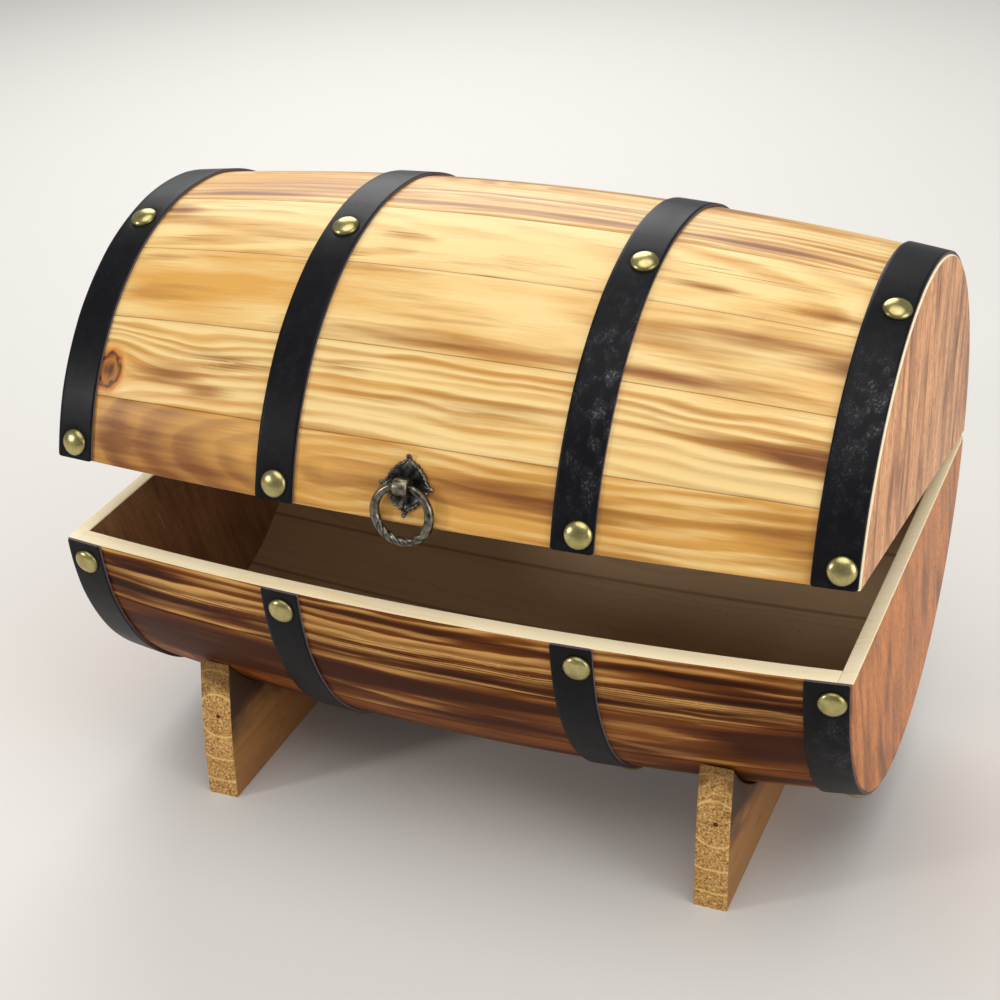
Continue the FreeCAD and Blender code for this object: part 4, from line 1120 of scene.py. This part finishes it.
class CHEST_OT_add_feet(bpy.types.Operator):
    """Add the two cradle feet"""
    bl_idname = "chest.add_feet"
    bl_label = "Cradle feet"

    def execute(self, context):
        s = sizes()
        # the last colour darkens the sides near the barrel: smoke and painted shadow of the barrel
        side_wood = foot_side("planed pine, smoked", tint("foot_wood"), linear("#7C4E22"),
                              linear("#28140A"))
        # the last colour serves the flecks, and the top's smoke and painted barrel shadow
        end_wood = foot_end("sawn end grain", linear("#D2A464"), linear("#A87838"),
                            linear("#4E3216"))
        start = s["foot_offset"] - s["foot_thick"] / 2
        # the faces of the two sawn ends are steep and far out
        outline = np.array(foot_outline(0))
        ahead = np.abs(np.roll(outline, -1, axis=0) - outline)
        sawn = (ahead[:, 1] > 1.8 * ahead[:, 0]) & (np.abs(outline[:, 0]) > 0.9 * s["foot_reach"])
        for side, sign in (("left", -1), ("right", 1)):
            loops = board(foot_outline, start, start + s["foot_thick"], FOOT_EDGE)
            points = np.concatenate(loops)
            points[:, 0] *= sign
            x, y, z = points.T
            grain = np.column_stack([y, z - 50, x - sign * s["foot_offset"]])
            which = [int(each) for each in sawn] * (len(loops) - 1) + [0, 0]
            piece = add_piece("foot_%s_board" % side, "base",
                              place_points(points, Matrix.Identity(4)),
                              loft_faces(len(loops), len(loops[0])), [side_wood, end_wood], which,
                              {"grain": grain, "pith": (-40.0, 30.0, 0.04), "gap": 6.0,
                               "seed": 4.0 + sign})
            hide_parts("foot_" + side)
        return {"FINISHED"}


# ---- hinges and screws ----
# A leaf's height and thickness, the gap between its three screws, and its end nearest mid length,
# where the wall is highest and the leaf's back touches it, in mm.
LEAF_TALL, LEAF_THICK, LEAF_SCREWS, LEAF_START = 14, 1.2, 10, 30
# Width and height of a screw's head in a leaf and in a foot, in mm.
LEAF_SCREW, FOOT_SCREW = (4.6, 0.9), (8.0, 2.0)
# A screw head's section: how far out and how high each ring of points lies, as shares of radius and
# rise, and its slot's half width and depth as such shares.
SCREW_PROFILE = ((1.0, -0.2), (1.0, 0.15), (0.94, 0.45), (0.75, 0.8), (0.45, 0.96), (0.15, 1.0))
SCREW_SIDES, SLOT_WIDE, SLOT_DEEP = 24, 0.17, 0.55
# Angles from the front of the two screws in each foot, in degrees.
FOOT_SCREW_TURNS = (78, 102)


def add_screw(matrix, size, slot_turn, points, faces, hollow):
    """Adds a slotted round screw head at a place with its top along +Z."""
    head, rise = size
    first = len(points)
    local = []
    for share, height in SCREW_PROFILE:
        for k in range(SCREW_SIDES):
            a = 2 * math.pi * k / SCREW_SIDES
            in_slot = abs(share * math.cos(a + slot_turn)) < SLOT_WIDE and height > 0.3
            local.append((math.cos(a) * share * head / 2, math.sin(a) * share * head / 2,
                          (height - (SLOT_DEEP if in_slot else 0)) * rise))
            hollow.append(1.0 if in_slot or height < 0.1 else 0.0)
    points += [tuple(p) for p in place_points(local, matrix)]
    faces += loft_faces(len(SCREW_PROFILE), SCREW_SIDES, first)


class CHEST_OT_add_hinges(bpy.types.Operator):
    """Finish the two butt hinges and add their screws and the feet's screws"""
    bl_idname = "chest.add_hinges"
    bl_label = "Hinges and screws"

    def execute(self, context):
        brass = aged_metal("antiqued brass, rolled", linear("#B8A870"), linear("#7C6C3E"),
                           linear("#3A2A1A"), 0.3, 9.0)
        steel = aged_metal("browned steel screws", linear("#A0978A"), linear("#5C544A"),
                           linear("#241C16"), 0.35, 3.0)
        for node, piece in frame["nodes"].items():
            if node.startswith("hinge_"):
                # the CAD's leaves and pins stay, and only get better brass
                piece.data.materials.clear()
                piece.data.materials.append(brass)
        for half in ("base", "lid"):
            self.add_leaf_screws(half, steel)
        self.add_foot_screws(steel)
        return {"FINISHED"}

    def add_leaf_screws(self, half, steel):
        """Three screws through each leaf, on its middle line."""
        s = sizes()
        points, faces, hollow = [], [], []
        turn = 180 - math.degrees(math.asin((s["rim_depth"] + LEAF_TALL / 2) / s["mid_radius"]))
        for side in ("left", "right"):
            low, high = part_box("hinge_leaf_%s_%s" % (half, side))
            middle = (low.x + high.x) / 2 * MM
            for step in (-LEAF_SCREWS, 0, LEAF_SCREWS):
                at = (half_place(half) @ Matrix.Rotation(math.radians(90 - turn), 4, "X")
                      @ Matrix.Translation((middle + step, 0,
                                            float(wall(LEAF_START)) + LEAF_THICK)))
                add_screw(at, LEAF_SCREW, 0.4 + step * 0.21 + middle, points, faces, hollow)
        add_piece("hinge_screws_" + half, half, points, faces, [steel], None,
                  {"hollow": hollow}, sharp=50)

    def add_foot_screws(self, steel):
        """Two screws down through the base's wall into each foot."""
        s = sizes()
        points, faces, hollow = [], [], []
        for x in (-s["foot_offset"], s["foot_offset"]):
            radius = float(wall(x)) - s["stave_wall"]
            for turn in FOOT_SCREW_TURNS:
                at = (half_place("base") @ Matrix.Rotation(math.radians(90 - turn), 4, "X")
                      @ Matrix.Translation((x, 0, radius)) @ Matrix.Rotation(math.pi, 4, "X"))
                add_screw(at, FOOT_SCREW, turn * 0.7 + x, points, faces, hollow)
        add_piece("foot_screws", "base", points, faces, [steel], None,
                  {"hollow": hollow}, sharp=50)


# ---- ring pull ----
# A side of the back plate from one point to the next, as shares of its half width and half height.
PLATE_SIDE = ((1, 0), (0.82, 0.12), (0.68, 0.40), (0.40, 0.68), (0.12, 0.82))
# The eye block's half height and half width, its reach from the lid to the bore, where it starts,
# the rounding of its edges and the radius of its bore, in mm.
EYE_HALF_TALL, EYE_HALF_WIDE, EYE_REACH, EYE_FOOT, EYE_EDGE, EYE_BORE = 5.0, 4.5, 7.4, 0.9, 0.9, 2.1


def pull_place():
    """The ring pull's frame: flat on the lid's front, +Y towards the crown and +Z outward."""
    s = sizes()
    x = -s["pull_offset"]
    lean = math.asin(x / s["bend_radius"])
    return (half_place("lid") @ Matrix.Rotation(math.pi / 2 - s["pull_turn"], 4, "X")
            @ Matrix.Translation((x, 0, float(wall(x)))) @ Matrix.Rotation(lean, 4, "Y"))


def plate_reach(way):
    """How far the back plate's outline lies from its middle in a direction."""
    s = sizes()
    corners = []
    for right, top in ((1, 1), (-1, 1), (-1, -1), (1, -1)):
        run = PLATE_SIDE if right == top else [(a, b) for b, a in PLATE_SIDE]
        corners += [Vector((right * a * s["plate_wide"] / 2, top * b * s["plate_tall"] / 2))
                    for a, b in run]
    ray = Vector((math.cos(way), math.sin(way)))
    best = 0.0
    for a, b in zip(corners, corners[1:] + corners[:1]):
        side = b - a
        cross = ray.x * side.y - ray.y * side.x
        if abs(cross) > 1e-9:
            far, share = (a.x * side.y - a.y * side.x) / cross, (a.x * ray.y - a.y * ray.x) / cross
            if -1e-6 <= share <= 1 + 1e-6:
                best = max(best, far)
    return best


class CHEST_OT_add_back_plate(bpy.types.Operator):
    """Add the ring pull's cast back plate, eye, washer and nut"""
    bl_idname = "chest.add_back_plate"
    bl_label = "Ring pull plate and eye"

    # Points round the plate, rings from its edge to its middle, beads on its border, and where that
    # starts.
    AROUND, RINGS, BEADS, BORDER = 176, 26, 28, 0.80
    # Radius in mm of the ball at each of the plate's points, and its rings and points round it.
    BALL, BALL_RINGS, BALL_SIDES = 1.5, 7, 14

    def execute(self, context):
        self.add_plate(pull_place())
        self.add_eye(pull_place())
        self.add_nut(pull_place())
        return {"FINISHED"}

    def plate_height(self, share, way, bead):
        """How high the plate stands at a share of the way out, in a direction, with its bead."""
        if share > self.BORDER:
            return 1.1 + (0.75 + 0.55 * bead) * math.sin(math.pi * (1 - share) / (1 - self.BORDER))
        dish = 1.1 - 0.75 * math.sin(math.pi * share / self.BORDER) ** 0.7
        ridges, rays = 0.55 * abs(math.cos(2 * way)) ** 6, 0.28 * math.cos(8 * way)
        return dish + (ridges * share + rays * share)

    def add_plate(self, place):
        """The plate: a beaded border round a dish with four ridges and rays between them."""
        s = sizes()
        casting = aged_metal("antiqued pewter casting", tint("pewter"), linear("#2A2824"),
                             linear("#0B0A0A"), 0.26, 4.0)
        around = self.AROUND
        radii = [plate_reach(2 * math.pi * k / around) for k in range(around)]
        points, hollow = [], []
        for row in range(self.RINGS):
            share = 1 - row / self.RINGS
            for k in range(around):
                a = 2 * math.pi * k / around
                bead = 0.5 + 0.5 * math.cos(a * self.BEADS)
                smooth = (radii[k - 1] + 2 * radii[k] + radii[(k + 1) % around]) / 4
                reach = smooth * share - (0.45 * (1 - bead) if share > 0.85 else 0)
                x, y = reach * math.cos(a), reach * math.sin(a)
                # the outermost ring is the back, curved to the lid's round
                back = -0.4 - y * y / (2 * s["mid_radius"])
                height = self.plate_height(share, a, bead) if row else back
                points.append((x, y, height))
                if share > self.BORDER:
                    hollow.append(max(0.0, 0.5 - bead))
                else:
                    hollow.append(min(1.0, 1.45 - 0.9 * height))
        points.append((0, 0, 1.0))
        hollow.append(1.0)
        faces = loft_faces(self.RINGS, around, 0, capped=False)
        last = (self.RINGS - 1) * around
        faces += [(last + k, last + (k + 1) % around, self.RINGS * around) for k in range(around)]
        faces.append(tuple(range(around - 1, -1, -1)))
        for x, y in ((1, 0), (0, 1), (-1, 0), (0, -1)):
            centre = Vector((x * (s["plate_wide"] / 2 - self.BALL),
                             y * (s["plate_tall"] / 2 - self.BALL), self.BALL))
            self.add_ball(centre, points, faces, hollow)
        plate = add_piece("ring_plate_casting", "lid", place_points(points, place),
                          faces, [casting], None, {"hollow": hollow}, sharp=70)
        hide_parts("ring_backplate")

    def add_ball(self, centre, points, faces, hollow):
        """Adds a ball, as at each of the plate's points."""
        first = len(points)
        for ring in range(1, self.BALL_RINGS + 1):
            t = math.pi * ring / (self.BALL_RINGS + 1)
            for b in np.linspace(0, 2 * math.pi, self.BALL_SIDES, endpoint=False):
                ray = Vector((math.sin(t) * math.cos(b), math.sin(t) * math.sin(b), math.cos(t)))
                points.append(tuple(centre + self.BALL * ray))
        hollow += [0.0] * (self.BALL_RINGS * self.BALL_SIDES)
        faces += loft_faces(self.BALL_RINGS, self.BALL_SIDES, first)

    def add_eye(self, place):
        """The eye block: a post with a round nose, worn edges, and painted shade for the bore's two
        mouths.
        """
        metal = aged_metal("antiqued pewter, rubbed", linear("#9C9480"), linear("#4C463A"),
                           linear("#14120F"), 0.26, 3.0)

        def outline(_x):
            nose = [(EYE_HALF_TALL * math.cos(t), EYE_REACH + EYE_HALF_TALL * math.sin(t))
                    for t in np.linspace(0, math.pi, 19)]
            return [(-EYE_HALF_TALL, EYE_FOOT), (EYE_HALF_TALL, EYE_FOOT)] + nose

        loops = board(outline, -EYE_HALF_WIDE, EYE_HALF_WIDE, EYE_EDGE)
        points = np.concatenate(loops)
        faces = loft_faces(len(loops), len(loops[0]))
        # patina darkens the block's foot
        hollow = list(np.clip((3.0 - points[:, 2]) / 2.5, 0, 1))
        points = [tuple(p) for p in points]
        # a dark disc in each side face is painted shade that stands for the mouth of the bore
        around = 20
        for side in (-1, 1):
            first = len(points)
            for x in (EYE_HALF_WIDE - 0.5, EYE_HALF_WIDE + 0.04):
                points += [(side * x, EYE_BORE * math.cos(b), EYE_REACH + EYE_BORE * math.sin(b))
                           for b in np.linspace(0, 2 * math.pi, around, endpoint=False)]
            hollow += [1.0] * (2 * around)
            faces += loft_faces(2, around, first)
        eye = add_piece("ring_eye_block", "lid", place_points(points, place), faces,
                        [metal], None, {"hollow": hollow}, sharp=50)
        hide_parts("ring_eye")

    def add_nut(self, place):
        """The washer, nut and screw end that hold the pull from inside the lid."""
        steel = aged_metal("browned steel nut", linear("#A0978A"), linear("#5C544A"),
                           linear("#241C16"), 0.35, 3.0)
        level = -sizes()["stave_wall"] - 0.2
        points, faces = [], []
        # each one's sides and radius, and how far below the wall it starts and ends, in mm
        washer, nut, screw_end = (28, 6.5, 0, 1.0), (6, 4.0, 1.0, 3.8), (20, 2.0, 3.8, 5.6)
        for sides, radius, start, end in (washer, nut, screw_end):
            high, low = level - start, level - end
            first = len(points)
            for share, height in ((1.0, high), (1.0, (high + 3 * low) / 4), (0.9, low)):
                points += [(radius * share * math.cos(b), radius * share * math.sin(b), height)
                           for b in np.linspace(0, 2 * math.pi, sides, endpoint=False)]
            faces += loft_faces(3, sides, first)
        add_piece("ring_pull_nut", "lid", place_points(points, place), faces, [steel],
                  None, {"hollow": 0.0})


class CHEST_OT_add_ring(bpy.types.Operator):
    """Add the ring with its twisted lower part"""
    bl_idname = "chest.add_ring"
    bl_label = "Ring"

    # Angles in degrees: from the ring's widest point up to where its arms end, and the twisted
    # stretch.
    NECK = 70.0
    ROPE_START, ROPE_END = -38.0, -158.0
    # Radius of the wire at the two tips, which turn in the eye, and how far from the middle they
    # end, in mm.
    TIP_RADIUS, TIP_GAP = 1.7, 0.7
    # Points round the wire, and along the ring and each tip.
    WIRE_SIDES, RING_SECTIONS, TIP_SECTIONS = 30, 221, 5

    def path(self):
        """Points of the ring's centre line: across, up, radius of the wire and angle."""
        s = sizes()
        drop = s["ring_radius"] * math.sin(math.radians(self.NECK))
        arm = s["ring_radius"] * math.cos(math.radians(self.NECK)) - 0.6
        tip = np.linspace(self.TIP_GAP, arm, self.TIP_SECTIONS)
        rows = [(x, drop, self.TIP_RADIUS, self.NECK) for x in tip]
        for way in np.linspace(self.NECK - 4, -180 - self.NECK + 4, self.RING_SECTIONS):
            # the arms thicken from the neck to the ring's widest point
            over = max(way, -180 - way, 0) / self.NECK
            wire = s["ring_wire"] / 2 + (s["ring_neck"] - s["ring_wire"]) / 2 * over
            rows.append((s["ring_radius"] * math.cos(math.radians(way)),
                         s["ring_radius"] * math.sin(math.radians(way)), wire, way))
        return rows + [(-x, drop, self.TIP_RADIUS, -180 - self.NECK) for x in tip[::-1]]

    def place(self):
        """The hanging ring's frame, found from where its CAD solid hangs."""
        s = sizes()
        low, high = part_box("ring_pull")
        middle_y = (low.y + high.y) / 2 * MM
        # the CAD's wire has eight sides, so its lowest point lies a little inside its radius
        middle_z = low.z * MM + s["ring_wire"] / 2 * math.cos(math.pi / 8) + s["ring_radius"]
        drop = s["ring_radius"] * math.sin(math.radians(self.NECK))
        lean = math.atan2(middle_y - EYE.y, EYE.z - middle_z)
        hung = Matrix.Translation(EYE) @ Matrix.Rotation(lean, 4, "X")
        return hung @ Matrix.Translation((0, 0, -drop))

    def execute(self, context):
        s = sizes()
        pewter = aged_metal("antiqued pewter ring", linear("#8C867A"), linear("#35322D"),
                            linear("#0A0A09"), 0.22, 3.5)
        path = self.path()
        ahead = np.gradient(np.array([row[:2] for row in path]), axis=0)
        ahead /= np.linalg.norm(ahead, axis=1)[:, None]
        points, hollow = [], []
        for (x, z, wire, way), step in zip(path, ahead):
            out = Vector((step[1], 0, -step[0]))
            share = (way - self.ROPE_START) / (self.ROPE_END - self.ROPE_START)
            rope = max(0.0, min(share / 0.05, (1 - share) / 0.05, 1.0))
            # a small collar at either end of the twist
            collars = self.ROPE_START + 5, self.ROPE_END - 5
            knob = sum(math.exp(-((way - at) / 5.0) ** 2) for at in collars)
            twist = share * math.radians(self.ROPE_START - self.ROPE_END) * 2 * math.pi
            for k in range(self.WIRE_SIDES):
                a = 2 * math.pi * k / self.WIRE_SIDES
                lobe = abs(math.cos(s["strands"] * (a - twist) / 2))
                radius = wire * (1 + 0.07 * knob) * (1 - rope * 0.30 * (1 - lobe ** 0.8))
                side = out * math.cos(a) * radius + Vector((0, 1, 0)) * math.sin(a) * radius
                points.append((x + side.x, side.y, z + side.z))
                hollow.append(rope * max(0.0, 1 - lobe * 1.9) + 0.1)
        ring = add_piece("ring_twisted", "ring", place_points(points, self.place()),
                         loft_faces(len(path), self.WIRE_SIDES), [pewter], None, {"hollow": hollow},
                         sharp=80)
        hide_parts("ring_pull")
        return {"FINISHED"}


# ---- stage ----
class CHEST_OT_add_stage(bpy.types.Operator):
    """Add the plain floor, the soft lamps and the camera"""
    bl_idname = "chest.add_stage"
    bl_label = "Floor, lamps and camera"

    # Half the floor's side, in metres.
    FLOOR = 9
    # The camera: what it turns about and how far off it stands, in metres, its angles in degrees,
    # and its lens and sensor in mm.
    AIM, DISTANCE = Vector((-0.01797, -0.00653, 0.17958)), 1.29398
    AZIMUTH, ELEVATION, ROLL = 23.38, 28.71, -2.30
    LENS, SENSOR = 71.62, 36
    # Each lamp: name, place and aim in metres, diameter in metres and power in watts.
    LAMPS = (("overhead", (0.3, -0.6, 2.4), (0, 0, 0.2), 2.6, 36),
             ("window", (-1.6, -1.5, 0.88), (0, 0, 0.15), 0.35, 12),
             ("rear", (-0.8, 1.5, 1.45), (0, 0, 0.3), 1.6, 24),
             ("side", (2.1, -0.7, 0.8), (0, 0, 0.2), 1.4, 19))

    def execute(self, context):
        mesh = bpy.data.meshes.new("floor")
        corners = [(x * self.FLOOR, y * self.FLOOR, 0)
                   for x, y in ((-1, -1), (1, -1), (1, 1), (-1, 1))]
        mesh.from_pydata(corners, [], [(0, 1, 2, 3)])
        mesh.materials.append(plain_floor("matt painted floor", tint("table")))
        floor = bpy.data.objects.new("floor", mesh)
        context.scene.collection.objects.link(floor)
        self.add_light(context)
        self.add_camera(context)
        return {"FINISHED"}

    def add_light(self, context):
        world = bpy.data.worlds.new("studio")
        world.use_nodes = True
        background = world.node_tree.nodes["Background"].inputs
        background["Color"].default_value = linear("#EEF0F2")
        background["Strength"].default_value = 0.4
        context.scene.world = world
        for name, at, aim, size, power in self.LAMPS:
            lamp = bpy.data.lights.new(name, "AREA")
            lamp.shape = "DISK"
            lamp.size = size
            lamp.energy = power
            holder = bpy.data.objects.new(name, lamp)
            holder.location = at
            holder.rotation_euler = (Vector(aim) - Vector(at)).to_track_quat("-Z", "Y").to_euler()
            context.scene.collection.objects.link(holder)

    def add_camera(self, context):
        azimuth, elevation = math.radians(self.AZIMUTH), math.radians(self.ELEVATION)
        roll = math.radians(self.ROLL)
        back = Vector((math.sin(azimuth) * math.cos(elevation),
                       -math.cos(azimuth) * math.cos(elevation), math.sin(elevation)))
        place = self.AIM + back * self.DISTANCE
        right = Vector((0, 0, 1)).cross(back).normalized()
        up = back.cross(right)
        right, up = (right * math.cos(roll) + up * math.sin(roll),
                     up * math.cos(roll) - right * math.sin(roll))
        lens = bpy.data.cameras.new("camera")
        lens.sensor_width = self.SENSOR
        lens.lens = self.LENS
        camera = bpy.data.objects.new("camera", lens)
        turned = Matrix((right, up, back)).transposed()
        camera.matrix_world = Matrix.Translation(place) @ turned.to_4x4()
        context.scene.collection.objects.link(camera)
        context.scene.camera = camera
        context.scene.view_settings.view_transform = "Standard"


PIECE_OPERATORS = (CHEST_OT_add_staves, CHEST_OT_add_end_boards, CHEST_OT_add_straps,
                   CHEST_OT_add_strap_nails, CHEST_OT_add_feet, CHEST_OT_add_hinges,
                   CHEST_OT_add_back_plate, CHEST_OT_add_ring, CHEST_OT_add_stage)


class CHEST_PT_pieces(bpy.types.Panel):
    """The chest's pieces, sizes and colours"""
    bl_idname = "CHEST_PT_pieces"
    bl_label = "Barrel chest"
    bl_space_type = "VIEW_3D"
    bl_region_type = "UI"
    bl_category = "Chest"

    def draw(self, context):
        for operator in PIECE_OPERATORS:
            self.layout.operator(operator.bl_idname)
        for group in (context.scene.chest_sizes, context.scene.chest_colours):
            column = self.layout.column(align=True)
            for name in type(group).__annotations__:
                column.prop(group, name)


CLASSES = (ChestSizes, ChestColours) + PIECE_OPERATORS + (CHEST_PT_pieces,)


def register():
    for each in CLASSES:
        bpy.utils.register_class(each)
    bpy.types.Scene.chest_sizes = PointerProperty(type=ChestSizes)
    bpy.types.Scene.chest_colours = PointerProperty(type=ChestColours)


def unregister():
    del bpy.types.Scene.chest_colours
    del bpy.types.Scene.chest_sizes
    for each in reversed(CLASSES):
        bpy.utils.unregister_class(each)


def main():
    """Adds every piece and the stage."""
    register()
    bpy.ops.chest.add_staves()
    bpy.ops.chest.add_end_boards()
    bpy.ops.chest.add_straps()
    bpy.ops.chest.add_strap_nails()
    bpy.ops.chest.add_feet()
    bpy.ops.chest.add_hinges()
    bpy.ops.chest.add_back_plate()
    bpy.ops.chest.add_ring()
    bpy.ops.chest.add_stage()


if __name__ == "__main__":
    main()
